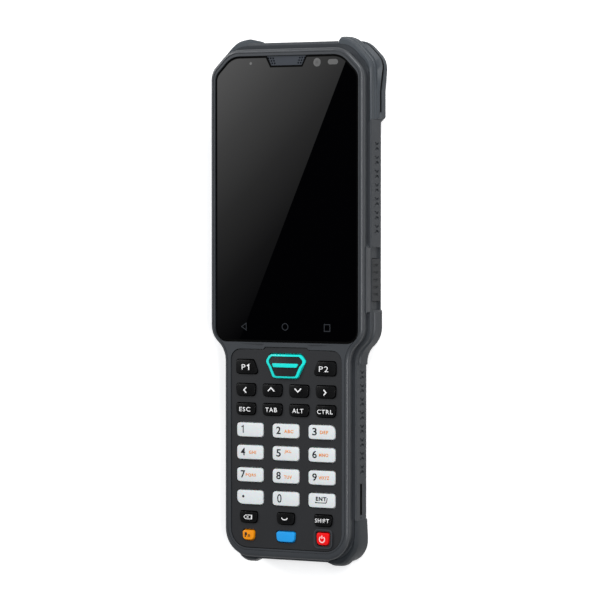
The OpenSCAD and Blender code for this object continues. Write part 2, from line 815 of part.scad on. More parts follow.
// Two slopes lead up from the bare end face to the bumper: a steep one along its leaning end,
// and a gentle one that runs out over the corner, most at the back
module upper_slopes() {
    steep = 1.4;
    gentle = 0.21;
    fall = 0.06;
    high = upper_rise + over;
    low = bumper_z0 - 0.5;
    x0 = upper_end(low);
    slopes = function (z) let (
            up = z - low,
            meet = (steep * UPPER_LEAN + fall) * up / (steep - gentle))
        [[upper_end(z) - 1, y_top + high], [upper_end(z) - 0.01, y_top],
         [x0 + meet, y_top + gentle * meet + fall * up],
         [x0 + (high - fall * up) / gentle, y_top + high]];
    n = 4;
    polyhedron(
        points = [for (z = [low, z_part]) for (p = slopes(z)) [p[0], p[1], z]],
        faces = [[0, 1, 2, 3], [7, 6, 5, 4], for (i = [0:n - 1])
            [i, n + i, n + (i + 1) % n, (i + 1) % n]]);
}

// The slot that parts the bumper from its bead, down to the end of its reach
module upper_slot() {
    difference() {
        prism(rear_outline(-bead_side_rise - over), slot_z0, slot_z1);
        prism(rear_outline(0.3), 0, z_front);
        box(-half_head - 5, half_head + 5, y_bottom - 5, y_top - slot_reach, 0, z_front);
        box(-upper_gap - 6, upper_gap + 6, 0, y_top + 5, 0, z_front);
    }
}

// The lower bumper's outline: its corner is tighter than the body's, it runs out up the grip,
// and end_rise lets it stand out of the end face and fades round the corner
function lower_outline(inset, end_rise = 0) =
    let (r = lower_bumper_round,
         c = [half_grip + bumper_side_rise - r, y_bottom + r])
    both_sides(concat(
        [for (i = [0:2 * ARC_STEPS]) let (a = 90 * i / (2 * ARC_STEPS), fade = max(0, 1 - pow(a / 40, 2)))
            c + (r - inset) * [sin(a), -cos(a)] - [0, end_rise * fade]],
        [[half_grip + bumper_side_rise - inset, c[1] + 2],
         [half_grip - 0.1 - inset, y_bottom + lower_reach + 1]]));

lower_layers = [
    [bumper_z0, lower_outline(1.8)],
    [bumper_z0 + 0.4, lower_outline(0.9)],
    [bumper_z0 + 1, lower_outline(0.3)],
    [bumper_z0 + 1.7, lower_outline(0)],
    [z_back + 5.4, lower_outline(0)],
    [z_back + 6.4, lower_outline(0, lower_rise)],
    [z_part - 2.2, lower_outline(0.2, lower_rise)],
    [z_part - 1.2, lower_outline(0.5, lower_rise)],
    [bumper_z1, lower_outline(1.3, lower_rise)]];

// Plan of the corner that a lower bumper covers, grown by a gap on the housing's side
function lower_corner(gap) =
    let (y_end = y_bottom + lower_reach, far = half_grip + 2, slope = 1.5)
    [[lower_gap - gap, y_end + gap], [lower_gap - gap, y_bottom],
     [lower_gap - gap + slope * (lower_rise + over), y_bottom - lower_rise - over],
     [far, y_bottom - lower_rise - over], [far, y_end - 1.6],
     [half_grip - bumper_depth - 0.4, y_end + gap]];

module bumper_seats() {
    pair() difference() {
        union() {
            upper_room(fit, z_front);
            prism(lower_corner(fit), bumper_z0 - fit, z_front);
        }
        prism(rear_outline(bumper_depth), 0, z_front);
    }
}

module upper_bumpers() {
    color(GREY) pair() difference() {
        intersection() {
            skin(upper_layers);
            upper_room(0, z_front);
        }
        upper_slopes();
        upper_slot();
        joint_groove();
        prism(rear_outline(bumper_depth - fit), 0, z_front);
    }
}

module lower_bumpers() {
    color(GREY) pair() difference() {
        intersection() {
            skin(lower_layers);
            prism(lower_corner(0), 0, z_front);
        }
        joint_groove();
        prism(rear_outline(bumper_depth - fit), 0, z_front);
    }
}

// ---------------------------------------------------------------- screen

// The earpiece's outline, whose sides lean outwards up to the edge of the glass and past it
function earpiece_outline(inset, past = 0) =
    let (lean = (earpiece_width - earpiece_base) / 2 / earpiece_depth)
    both_sides([[earpiece_base / 2 - inset, glass_y - earpiece_depth + inset],
                [earpiece_base / 2 - inset + lean * (earpiece_depth + past - inset), glass_y + past]]);

module touch_glass() {
    color(BLACK) difference() {
        prism(glass_outline(0), z_seat, z_seat + glass_thickness);
        prism(earpiece_outline(-fit, over), 0, z_front + over);
    }
}

module display_module() {
    color(DARK) prism(glass_outline(glass_ledge + 0.3, sensor_ledge - glass_ledge),
                      z_seat - display_thickness, z_seat);
}

// Thin plate with holes in three rows at each end and a smooth middle
module earpiece_grille() {
    hole_pitch = 1.25;
    color(DARK) difference() {
        prism(earpiece_outline(0, -0.02), z_seat, z_seat + glass_thickness - 0.15);
        pair() for (row = [0:2]) for (i = [0:2])
            translate([5.9 + i * hole_pitch + row * 0.4, glass_y - 3.2 + row * 1.1, 0])
                cylinder(r = 0.42, h = z_front, $fn = 20);
    }
}

module earpiece_speaker() {
    color(DARK) box(-7, 7, sensor_y - 1.6, sensor_y + 2, z_under - 2, z_under);
}

module front_camera() {
    color(BLACK) translate([camera_x, sensor_y, 0]) {
        translate([0, 0, z_under - 1]) cylinder(r = camera_r, h = z_seat - z_under + 0.9);
        box(-3.2, 3.2, -3.2, 2.2, z_under - 2.2, z_under);
    }
}

// ---------------------------------------------------------------- keypad

function row_y(distance) = panel_y1 - distance;

TOP_ROW = row_y(7.6);
SCAN_ROW = row_y(7);
ARROW_ROW = row_y(17.7);
WORD_ROW = row_y(26.1);
NUMBER_ROW = row_y(35.2);
SPACE_ROW = panel_y0 + 13.3;
COLOUR_ROW = panel_y0 + 5.4;

// Pitches of the keys, from the room between the panel's edges
black_pitch = (half_panel - black_margin) / 1.5;
number_pitch = half_panel - number_margin;
lowest_pitch = half_panel - lowest_margin;
number_row_pitch = (NUMBER_ROW - SPACE_ROW - 8.7) / 3;
number_key_width = number_pitch - number_gap;
number_key_height = number_row_pitch - number_row_gap;
black_key_width = black_pitch - black_gap;

// low_left and high_right are the radii of those two corners
function plain_key(x, y, w, h, low_left = key_round, high_right = key_round) =
    rounded_polygon([[x - w / 2, y - h / 2], [x + w / 2, y - h / 2],
                     [x + w / 2, y + h / 2], [x - w / 2, y + h / 2]],
                    [low_left, key_round, high_right, key_round]);

// A key that narrows a little towards the user and has rounder lower corners
function tapered_key(x, y, w, h) =
    rounded_polygon([[x - w / 2 + 0.35, y - h / 2], [x + w / 2 - 0.35, y - h / 2],
                     [x + w / 2, y + h / 2], [x - w / 2, y + h / 2]],
                    [key_round * 1.3, key_round * 1.3, key_round * 0.8, key_round * 0.8]);

// P1 and P2 lean towards the scan key: side is -1 on the left and 1 on the right
function leaning_key(side) =
    let (outer = half_panel - 2.65, low = outer - 11.35, high = outer - 8.95, h = 3.15,
         right = [[low, TOP_ROW - h], [outer, TOP_ROW - h], [outer, TOP_ROW + h], [high, TOP_ROW + h]],
         round_right = rounded_polygon(right, [key_round, key_round, key_round, key_round]))
    side > 0 ? round_right
             : [for (i = [len(round_right) - 1:-1:0]) [-round_right[i][0], round_right[i][1]]];

function scan_key_outline(inset = 0) =
    let (top = SCAN_ROW + 5.4 - inset, low = SCAN_ROW - 5.4 + inset, wide = 10.25 - inset * 1.1)
    rounded_polygon([[-5.9 + inset / 2, low], [5.9 - inset / 2, low], [wide, SCAN_ROW + 2.4],
                     [7.6 - inset / 2, top], [-7.6 + inset / 2, top], [-wide, SCAN_ROW + 2.4]],
                    [1.4, 1.4, 1.2, 1, 1, 1.2]);

// Each key: name, colour, height over the panel, outline
KEYS = concat(
    [["key_p1", BLACK, key_rise, leaning_key(-1)],
     ["key_scan", TEAL, scan_rise, scan_key_outline()],
     ["key_p2", BLACK, key_rise, leaning_key(1)]],
    [for (i = [0:3]) [["key_left", "key_up", "key_down", "key_right"][i], BLACK, key_rise,
        tapered_key((i - 1.5) * black_pitch, ARROW_ROW, black_key_width, 5.4)]],
    [for (i = [0:3]) [["key_esc", "key_tab", "key_alt", "key_ctrl"][i], BLACK, key_rise,
        tapered_key((i - 1.5) * black_pitch, WORD_ROW, black_key_width, 5.2)]],
    [for (row = [0:3]) for (i = [0:2])
        [["key_1", "key_2", "key_3", "key_4", "key_5", "key_6",
          "key_7", "key_8", "key_9", "key_dot", "key_0", "key_enter"][row * 3 + i], PALE, key_rise,
         plain_key((i - 1) * number_pitch, NUMBER_ROW - row * number_row_pitch,
                   number_key_width, number_key_height,
                   low_left = row == 3 && i == 0 ? 2 * key_round : key_round,
                   high_right = row == 0 && i == 2 ? 2 * key_round : key_round)]],
    [for (i = [0:2]) [["key_backspace", "key_space", "key_shift"][i], BLACK, key_rise,
        tapered_key((i - 1) * lowest_pitch, SPACE_ROW, 9, 5.1)]],
    [["key_function", "#f59a0c", key_rise, tapered_key(-lowest_pitch, COLOUR_ROW, 6.3, 4.8)],
     ["key_blue", "#27a3ec", key_rise, tapered_key(0, COLOUR_ROW, 9.8, 5)],
     ["key_power", "#f00810", key_rise, tapered_key(lowest_pitch, COLOUR_ROW, 6.8, 5.9)]]);

flange = 0.6;
flange_play = 0.05;
flange_thickness = 0.75;
dome_height = z_panel_seat - flange_play - flange_thickness - key_travel - 0.05 - z_under;

function middle(points) = [for (i = [0, 1])
    (min([for (p = points) p[i]]) + max([for (p = points) p[i]])) / 2];
function extent(points) = [for (i = [0, 1])
    max([for (p = points) p[i]]) - min([for (p = points) p[i]])];

// An outline grown by a distance, about its own middle
function grown(points, d) =
    let (m = middle(points), e = extent(points))
    [for (p = points) [m[0] + (p[0] - m[0]) * (e[0] + 2 * d) / e[0],
                       m[1] + (p[1] - m[1]) * (e[1] + 2 * d) / e[1]]];

// A key cap on a flange that keeps it under the panel. A large sphere crowns the cap.
crown_r = 40;

module crown(m, top, depth) {
    translate([m[0], m[1], top - crown_r]) sphere(r = crown_r - depth, $fn = 96);
}

module key(colour, rise, outline, sunk = false) {
    m = middle(outline);
    top = z_panel + rise;
    flange_z1 = z_panel_seat - flange_play;
    color(colour) {
        difference() {
            intersection() {
                prism(outline, flange_z1 - 0.1, top);
                crown(m, top, 0);
            }
            if (sunk) scan_field(m, top);
        }
        prism(grown(outline, flange), flange_z1 - flange_thickness, flange_z1);
    }
}

// The scan key's face is sunk inside a rim, and a bar is left standing across it
scan_rim = 1.15;
scan_field_depth = 0.45;

module scan_field(m, top) {
    low = SCAN_ROW - 1;
    high = SCAN_ROW + 1.4;
    difference() {
        prism(scan_key_outline(scan_rim), top - 3, top + over);
        prism(rounded_polygon([[-5.9, low], [5.9, low], [6.8, high], [-6.8, high]], [0.6, 0.6, 0.6, 0.6]),
              top - 3 - over, top + 2 * over);
        crown(m, top, scan_field_depth);
    }
}

module keypad_panel() {
    guard = grown(KEYS[len(KEYS) - 1][3], 1.1);
    color(PANEL) difference() {
        union() {
            prism(panel_outline(0), z_panel_seat, z_panel);
            prism(guard, z_panel_seat, z_panel + 0.5);
        }
        for (k = KEYS) prism(grown(k[3], key_gap), 0, z_front + over);
    }
}

module keypad_board() {
    color("#1f5a3c") difference() {
        prism(panel_outline(0.3), z_keyboard, z_under);
        at_screws() cylinder(r = boss_r + 0.3, h = z_front);
    }
}

module dome_switches() {
    color("silver") for (k = KEYS)
        translate([middle(k[3])[0], middle(k[3])[1], z_under])
            cylinder(r = 2, h = dome_height, $fn = 24);
}

// ---------------------------------------------------------------- side keys

module side_key() {
    face = half_head + 0.25;
    ribs = 5;
    rib_pitch = 3.15;
    stop = half_head - wall;
    color(DARK) difference() {
        union() {
            box(stop - 0.1 - side_key_travel / 2, face, side_key_y - side_key_length / 2,
                side_key_y + side_key_length / 2, side_key_z0, side_key_z1);
            box(stop - 0.9, stop - 0.1, side_key_y - side_key_length / 2 - 0.6,
                side_key_y + side_key_length / 2 + 0.6, side_key_z0 - 0.5, side_key_z1 + 0.4);
        }
        for (i = [0:ribs - 1])
            box(face - 0.45, face + over, side_key_y + (i - 2) * rib_pitch - 0.5,
                side_key_y + (i - 2) * rib_pitch + 0.5, side_key_z0 + 2, side_key_z1 - 0.8);
    }
}

module side_key_right() side_key();
module side_key_left() mirror([1, 0, 0]) side_key();

module side_switches() {
    reach = half_head - wall - 0.9 - side_key_travel - 0.1;
    color("silver") pair()
        box(reach - 3.2, reach, side_key_y - 2.5, side_key_y + 2.5, z_board - 3.4, z_board);
}

// ---------------------------------------------------------------- inside

module midframe() {
    color("#9a9da0") {
        difference() {
            intersection() {
                prism(front_outline(wall + 0.2), z_under - midframe_thickness, z_under);
                box(-half_head, half_head, y_head - 4, sensor_y - 4, 0, z_front);
            }
            at_screws() cylinder(r = boss_r + 0.3, h = z_front);
        }
        pair() for (y = [y_head + 14, glass_y - 18])
            translate([half_glass - 9, y, z_board + board_thickness])
                cylinder(r = 2.4, h = board_gap - board_thickness + 0.2);
    }
}

module main_board() {
    color("#1f5a3c") difference() {
        box(-half_head + wall + 2, half_head - wall - 2, y_head - 2, rear_camera_y + 6,
            z_board, z_board + board_thickness);
        at_screws() cylinder(r = boss_r + 0.3, h = z_front);
    }
}

can_width = 22;
can_length = 26;
can_height = 2;

module shield_cans() {
    color("silver") for (corner = [[-can_width - 2, y_head + can_length + 8], [2, y_head + can_length + 4],
                                   [-can_width + 4, y_head + 2]])
        box(corner[0], corner[0] + can_width, corner[1], corner[1] + can_length,
            z_board - can_height, z_board);
}

engine_width = 21.6;
engine_length = 12;
engine_height = 7;

module scan_engine() {
    engine_y1 = y_top - wall - 0.3;
    color("#3a3a3c") difference() {
        box(-engine_width / 2, engine_width / 2, engine_y1 - engine_length, engine_y1,
            z_inside, z_inside + engine_height);
        for (x = [-0.3, 0.14]) translate([x * engine_width, engine_y1 + over, z_inside + engine_height / 2])
            rotate([90, 0, 0]) cylinder(r = engine_height * 0.31, h = 3);
    }
}

module scan_window() {
    color("#300a0c") box(-scan_half, scan_half, y_top - 2.4, y_top - 1, scan_z0, scan_z1);
}

module rear_camera() {
    color(BLACK) translate([0, rear_camera_y, 0]) {
        translate([0, 0, window_sink + window_thickness + 0.1])
            cylinder(r = lens_r, h = z_inside - window_sink - window_thickness);
        box(-5.5, 5.5, -5.5, 5.5, z_inside + 0.1, z_inside + 3);
    }
}

module camera_window() {
    color("#101418") translate([0, rear_camera_y, window_sink])
        cylinder(r = window_r, h = window_thickness);
}

speaker_width = 18;
speaker_length = 14;

module loudspeaker() {
    color(DARK) box(speaker_x - speaker_width / 2, speaker_x + speaker_width / 2,
                    speaker_y - speaker_length / 2, speaker_y + speaker_length / 2,
                    back_wall, back_wall + 4.6);
}

module battery_pack() {
    color("#26272a") difference() {
        prism(block_outline(battery_width / 2, battery_y1 - battery_length, battery_y1, 1.6),
              z_back + 0.1, z_back + 0.1 + battery_thickness);
        box(-10, 10, battery_y1 - battery_length - over, battery_y1 - battery_length + 1.2,
            z_back + 4, z_back + 6.5);
    }
}

module battery_door() {
    edge = z_back - door_sink - 0.05;
    half = door_width / 2;
    z1 = z_back - 0.05;
    color(GREY) difference() {
        union() {
            skin([for (i = [0:ROUND_STEPS]) let (a = 90 * i / ROUND_STEPS)
                [door_sink + edge * (1 - cos(a)),
                 block_outline(half, door_y0, door_y1, 5, edge * 0.8 * (1 - sin(a)))]]);
            pair() {
                box(hook_x - hook_width / 2, hook_x + hook_width / 2, door_y1 - 2.2, door_y1 - 1.2,
                    z1 - 0.5, z_back + 2);
                box(hook_x - hook_width / 2, hook_x + hook_width / 2, door_y1 - 2.2, door_y1 + 1.2,
                    z_back + hook_skin + 0.2, z_back + 2);
            }
            box(-snap_width / 2, snap_width / 2, door_y0 + 0.8, door_y0 + 1.8, z1 - 0.5, z_back + 2);
        }
        // ribbed inside
        for (i = [-1:1]) for (j = [0:2])
            box(i * 16 - 7, i * 16 + 7, door_y0 + 8 + j * 18, door_y0 + 24 + j * 18,
                door_sink + 1.5, z_back + over);
    }
}

module usb_connector() {
    y0 = y_bottom + flap_thickness + 0.3;
    color("silver") difference() {
        box(-usb_half, usb_half, y0, y0 + 7.5, usb_z, usb_z + usb_height);
        box(-usb_half + 0.35, usb_half - 0.35, y0 - over, y0 + 5.6,
            usb_z + 0.35, usb_z + usb_height - 0.35);
    }
    color("silver") box(-3.2, 3.2, y0 + 0.8, y0 + 6, usb_z + 1.3, usb_z + 2);
    color("#1f5a3c") box(-12, 12, y_bottom + wall + 0.2, door_y0 - 1.6, usb_board_z, usb_z);
}

module usb_cover() {
    color(DARK) difference() {
        union() {
            box(flap_hinge_x, flap_x1, y_bottom, y_bottom + flap_thickness, flap_z0, flap_z1);
            translate([flap_hinge_x, flap_hinge_y, flap_z0])
                cylinder(r = flap_thickness / 2, h = flap_z1 - flap_z0);
        }
        translate([flap_hinge_x, flap_hinge_y, 0]) cylinder(r = pin_r + 0.05, h = z_front);
        box(flap_x1 - 1.4, flap_x1 + over, y_bottom - over, y_bottom + 0.6, flap_z0 + 2, flap_z1 - 2);
    }
}

module usb_cover_pin() {
    color("silver") translate([flap_hinge_x, flap_hinge_y, flap_z0 - 0.9])
        cylinder(r = pin_r, h = flap_z1 - flap_z0 + 1.5);
}

module housing_gasket() {
    color("#8a5a30") gasket_ring(0, z_part - gasket_height, z_part);
}

module housing_screws() {
    color("#6c6f72") at_screws() {
        translate([0, 0, z_back + screw_head_sink]) difference() {
            union() {
                cylinder(r = screw_head_r, h = screw_head_height);
                cylinder(r = screw_r, h = screw_tip - z_back - screw_head_sink);
            }
            translate([0, 0, -0.1]) cylinder(r = 1.1, h = 0.9, $fn = 6);
        }
    }
}

module charging_contacts() {
    color("gold") at_contacts() translate([0, 0, 0.3]) cylinder(r = contact_r, h = 2);
}

// ---------------------------------------------------------------- the whole

front_housing();
rear_housing();
upper_bumpers();
lower_bumpers();
touch_glass();
display_module();
earpiece_grille();
earpiece_speaker();
front_camera();
keypad_panel();
keypad_board();
dome_switches();
side_key_right();
side_key_left();
side_switches();
midframe();
main_board();
shield_cans();
scan_engine();
scan_window();
rear_camera();
camera_window();
loudspeaker();
battery_pack();
battery_door();
usb_connector();
usb_cover();
usb_cover_pin();
housing_gasket();
housing_screws();
charging_contacts();
for (k = KEYS) key(k[1], k[2], k[3], k[0] == "key_scan");
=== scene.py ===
# Portable barcode data terminal: the looks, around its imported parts.
# The terminal lies on its back. +X is its right side, +Y its head end, +Z comes out of the screen.
import json
import math

import bpy
from mathutils import Matrix, Vector
from mathutils.bvhtree import BVHTree

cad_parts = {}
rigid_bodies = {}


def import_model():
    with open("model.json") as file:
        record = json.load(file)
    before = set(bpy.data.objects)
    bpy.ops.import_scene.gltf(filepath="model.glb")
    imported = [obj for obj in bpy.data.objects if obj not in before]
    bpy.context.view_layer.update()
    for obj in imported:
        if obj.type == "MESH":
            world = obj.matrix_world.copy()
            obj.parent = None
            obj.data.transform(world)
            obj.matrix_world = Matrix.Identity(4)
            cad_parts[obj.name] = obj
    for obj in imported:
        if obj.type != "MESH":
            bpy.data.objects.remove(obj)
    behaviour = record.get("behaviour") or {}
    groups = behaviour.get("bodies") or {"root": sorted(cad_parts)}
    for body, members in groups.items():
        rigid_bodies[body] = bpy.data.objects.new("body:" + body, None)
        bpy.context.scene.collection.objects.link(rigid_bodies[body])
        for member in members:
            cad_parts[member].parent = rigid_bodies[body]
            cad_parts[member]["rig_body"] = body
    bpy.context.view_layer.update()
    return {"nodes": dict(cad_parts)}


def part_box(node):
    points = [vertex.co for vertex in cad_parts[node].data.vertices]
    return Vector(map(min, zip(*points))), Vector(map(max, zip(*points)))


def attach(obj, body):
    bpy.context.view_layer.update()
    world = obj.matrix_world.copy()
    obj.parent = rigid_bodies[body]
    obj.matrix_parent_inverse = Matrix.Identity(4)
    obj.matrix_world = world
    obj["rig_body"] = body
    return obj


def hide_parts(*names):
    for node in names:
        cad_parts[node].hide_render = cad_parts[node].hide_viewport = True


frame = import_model()
nodes = frame["nodes"]

MM = 0.001
ROOT = "terminal"


# --------------------------------------------------------------- camera and studio
# The camera looks down at the terminal from its right side, over a pale table. A strip light stands
# at the right and softboxes at the left and the head end. Cards shape what the glass mirrors.

camera_at = Vector((745.05, 40.0, 1298.0)) * MM
camera_back = Vector((0.49982, 0.02655, 0.86572))


def turned(z_axis, up):
    """The rotation whose local +Z is z_axis and whose local +Y leans towards up."""
    z = z_axis.normalized()
    x = up.cross(z).normalized()
    y = z.cross(x)
    return Matrix([[x[i], y[i], z[i]] for i in range(3)]).to_quaternion()


camera_data = bpy.data.cameras.new("camera")
camera = bpy.data.objects.new("camera", camera_data)
bpy.context.scene.collection.objects.link(camera)
camera.location = camera_at
camera.rotation_mode = "QUATERNION"
camera.rotation_quaternion = turned(camera_back, Vector((0, 1, 0)))
camera_data.lens = 204.2
camera_data.sensor_width = 36.0
camera_data.clip_start = 0.05
bpy.context.scene.camera = camera
bpy.context.scene.view_settings.view_transform = "Standard"


def linear(hex_colour):
    """The linear RGBA of an sRGB hex colour."""
    channels = [int(hex_colour[i:i + 2], 16) / 255 for i in (1, 3, 5)]
    return [c / 12.92 if c <= 0.04045 else ((c + 0.055) / 1.055) ** 2.4 for c in channels] + [1.0]


def add_node(tree, kind, links=None, **settings):
    """Adds a shader node with its settings. links maps inputs to values or to other nodes' outputs."""
    node = tree.nodes.new("ShaderNode" + kind)
    for name, value in settings.items():
        setattr(node, name, value)
    for name, value in (links or {}).items():
        if isinstance(value, bpy.types.NodeSocket):
            tree.links.new(value, node.inputs[name])
        else:
            node.inputs[name].default_value = value
    return node


def new_material(name):
    """An empty node material, with its tree and its output node."""
    material = bpy.data.materials.new(name)
    material.use_nodes = True
    tree = material.node_tree
    tree.nodes.clear()
    return material, tree, tree.nodes.new("ShaderNodeOutputMaterial")


def seen_as(tree, dull, bright):
    """A shader that is dull for light on the object, and bright for the camera, gloss and glass."""
    path = add_node(tree, "LightPath")
    seen = path.outputs["Is Camera Ray"]
    for ray in ("Is Glossy Ray", "Is Transmission Ray"):
        seen = add_node(tree, "Math", {0: seen, 1: path.outputs[ray]}, operation="MAXIMUM").outputs[0]
    return add_node(tree, "MixShader", {0: seen, 1: dull, 2: bright})


world = bpy.data.worlds.new("studio")
bpy.context.scene.world = world
world.use_nodes = True
sky = world.node_tree.nodes["Background"]
sky.inputs["Color"].default_value = linear("#eef1f5")
sky.inputs["Strength"].default_value = 0.34


def area_light(name, place, size, watts):
    """A rectangular light at a place, aimed at the terminal."""
    data = bpy.data.lights.new(name, "AREA")
    data.shape = "RECTANGLE"
    data.size, data.size_y = size
    data.energy = watts
    light = bpy.data.objects.new(name, data)
    light.location = place
    light.rotation_mode = "QUATERNION"
    light.rotation_quaternion = turned(Vector(place), Vector((0, 1, 0)))
    bpy.context.scene.collection.objects.link(light)


area_light("strip_right", (0.85, 0.10, 1.05), (0.20, 0.90), 10.0)
area_light("softbox_left", (-0.90, 0.60, 0.60), (0.60, 0.60), 7.0)
area_light("softbox_head", (0.35, 0.70, 0.38), (0.35, 0.25), 3.4)

# The table: white to the camera, a grey for the light that it sends back to the terminal
bpy.ops.object.select_all(action="DESELECT")
bpy.ops.mesh.primitive_plane_add(size=8.0, location=(0, 0, -0.0001))
floor = bpy.context.object
floor.name = "table_top"
floor_material, tree, output = new_material("white laminate")
table_dull = add_node(tree, "BsdfDiffuse", {"Color": linear("#505050")})
table_white = add_node(tree, "BsdfDiffuse", {"Color": linear("#ffffff")})
table_glow = add_node(tree, "Emission", {"Color": linear("#ffffff"), "Strength": 0.45})
table_bright = add_node(tree, "AddShader", {0: table_white.outputs[0], 1: table_glow.outputs[0]})
# In gloss the table is a plain white, without the lamps' surplus
table_plain = add_node(tree, "BsdfDiffuse", {"Color": linear("#cccccc")})
table_sheen = add_node(tree, "Emission", {"Color": linear("#ffffff"), "Strength": 0.22})
table_mirrored = add_node(tree, "AddShader", {0: table_plain.outputs[0], 1: table_sheen.outputs[0]})
table_seen = add_node(tree, "MixShader", {0: add_node(tree, "LightPath").outputs["Is Glossy Ray"],
                                          1: table_bright.outputs[0], 2: table_mirrored.outputs[0]})
mixed = seen_as(tree, table_dull.outputs[0], table_seen.outputs[0])
tree.links.new(mixed.outputs[0], output.inputs["Surface"])
floor.data.materials.append(floor_material)

# What the glass mirrors for the camera: a black flag, and before it a grey card that fades across
mirror_way = Vector((-camera_back.x, -camera_back.y, camera_back.z))
FLAG_AWAY = 0.90
CARD_AWAY = 0.88
GLASS_Z = 19.5 * MM


def through_glass(x, y, away):
    """The point at a distance behind the glass that the camera sees mirrored in it at (x, y)."""
    mirror_eye = Vector((camera_at.x, camera_at.y, 2 * GLASS_Z - camera_at.z))
    way = Vector((x, y, GLASS_Z)) - mirror_eye
    reach = (mirror_way * away - mirror_eye).dot(mirror_way) / way.dot(mirror_way)
    return mirror_eye + way * reach


def card(name, away, places, material):
    """A card that only gloss sees, cut to the places on the glass where it is mirrored."""
    mesh = bpy.data.meshes.new(name)
    corners = [tuple(through_glass(x, y, away)) for x, y in places]
    mesh.from_pydata(corners, [], [tuple(range(len(corners)))])
    mesh.materials.append(material)
    sheet = bpy.data.objects.new(name, mesh)
    bpy.context.scene.collection.objects.link(sheet)
    for ray in ("camera", "diffuse", "shadow", "transmission"):
        setattr(sheet, "visible_" + ray, False)


flag_material, tree, output = new_material("black flock")
tree.links.new(add_node(tree, "Emission", {"Color": linear("#000000")}).outputs[0],
               output.inputs["Surface"])
FLAG_X, FLAG_Y = 0.11, 0.17
card("black_flag", FLAG_AWAY,
     ((-FLAG_X, -FLAG_Y), (FLAG_X, -FLAG_Y), (FLAG_X, FLAG_Y), (-FLAG_X, FLAG_Y)), flag_material)

# The card is brightest where the glass's upper left corner mirrors it. It fades to the right and
# down, by these shares of its range for each millimetre of glass.
BRIGHT_X, BRIGHT_Y, STEP = -0.0329, 0.0993, 0.01
FADE_RIGHT, FADE_DOWN = 0.00745, 0.00803
card_material, tree, output = new_material("graded grey card")
bright = through_glass(BRIGHT_X, BRIGHT_Y, CARD_AWAY)
across = (through_glass(BRIGHT_X + STEP, BRIGHT_Y, CARD_AWAY) - bright) / (STEP / MM)
along = (through_glass(BRIGHT_X, BRIGHT_Y + STEP, CARD_AWAY) - bright) / (STEP / MM)
fade = FADE_RIGHT * across / across.length_squared - FADE_DOWN * along / along.length_squared
geometry = add_node(tree, "NewGeometry")
from_bright = add_node(tree, "VectorMath", {0: geometry.outputs["Position"], 1: tuple(bright)},
                       operation="SUBTRACT")
faded = add_node(tree, "VectorMath", {0: from_bright.outputs[0], 1: tuple(fade)},
                 operation="DOT_PRODUCT")
ramp = add_node(tree, "ValToRGB", {"Fac": faded.outputs["Value"]})
ramp.color_ramp.elements[0].color = linear("#505050")
ramp.color_ramp.elements[1].color = linear("#000000")
for place, grey in ((0.25, "#3c3c3c"), (0.5, "#282828"), (0.75, "#141414")):
    ramp.color_ramp.elements.new(place).color = linear(grey)
# The share of light that the glass sends back to the camera
GLASS_MIRRORS = 0.0415
tree.links.new(add_node(tree, "Emission", {"Color": ramp.outputs["Color"],
                                           "Strength": 1 / GLASS_MIRRORS}).outputs[0],
               output.inputs["Surface"])
# Its straight edge runs across the glass, from the left of its foot to the right of its head
CARD_EDGE = ((-0.0381, -0.050), (0.0411, 0.130))
card("graded_card", CARD_AWAY, ((-FLAG_X, FLAG_Y), (-FLAG_X, -FLAG_Y), *CARD_EDGE), card_material)


# --------------------------------------------------------------- rear housing
# The rear shell is glass-filled PC/ABS, injection moulded in slate grey. Its mould is spark-eroded,
# which leaves a fine matte grain, and its parting edges break at about 0.15 mm.

def break_edges(piece, bevel, segments=2):
    """Rounds a piece's sharp edges by some millimetres and keeps its flat faces flat."""
    bpy.context.view_layer.objects.active = piece
    edges = piece.modifiers.new("broken edges", "BEVEL")
    edges.width = bevel * MM
    edges.segments = segments
    edges.limit_method = "ANGLE"
    edges.angle_limit = math.radians(35)
    edges.use_clamp_overlap = True
    bpy.ops.object.modifier_apply(modifier=edges.name)
    bpy.ops.object.shade_smooth_by_angle(angle=math.radians(48))
    level = piece.modifiers.new("flat faces stay flat", "WEIGHTED_NORMAL")
    level.keep_sharp = True
    bpy.ops.object.modifier_apply(modifier=level.name)


def pick(piece):
    """Selects one piece alone, and makes it the one that operators work on."""
    bpy.ops.object.select_all(action="DESELECT")
    piece.select_set(True)
    bpy.context.view_layer.objects.active = piece


def own_copy(source, name):
    """A copy of a piece with a mesh of its own, which rides on nothing yet."""
    piece = source.copy()
    piece.data = source.data.copy()
    piece.name = name
    for key in [k for k in piece.keys() if k.startswith("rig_")]:
        del piece[key]
    bpy.context.scene.collection.objects.link(piece)
    return piece


def copy_of(node, bevel=0.15):
    """A merged copy of a CAD node. It stands for the node and rides where the node does.
    Its edges are broken by bevel millimetres, or left for later where bevel is None."""
    source = nodes[node]
    piece = own_copy(source, node + "_shell")
    pick(piece)
    bpy.ops.object.mode_set(mode="EDIT")
    bpy.ops.mesh.select_all(action="SELECT")
    bpy.ops.mesh.remove_doubles(threshold=0.01 * MM)
    bpy.ops.mesh.dissolve_limited(angle_limit=math.radians(0.5))
    bpy.ops.object.mode_set(mode="OBJECT")
    if bevel is not None:
        break_edges(piece, bevel)
    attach(piece, source["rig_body"])
    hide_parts(node)
    return piece


def dress(piece, material):
    """Gives a piece its material."""
    piece.data.materials.clear()
    piece.data.materials.append(material)


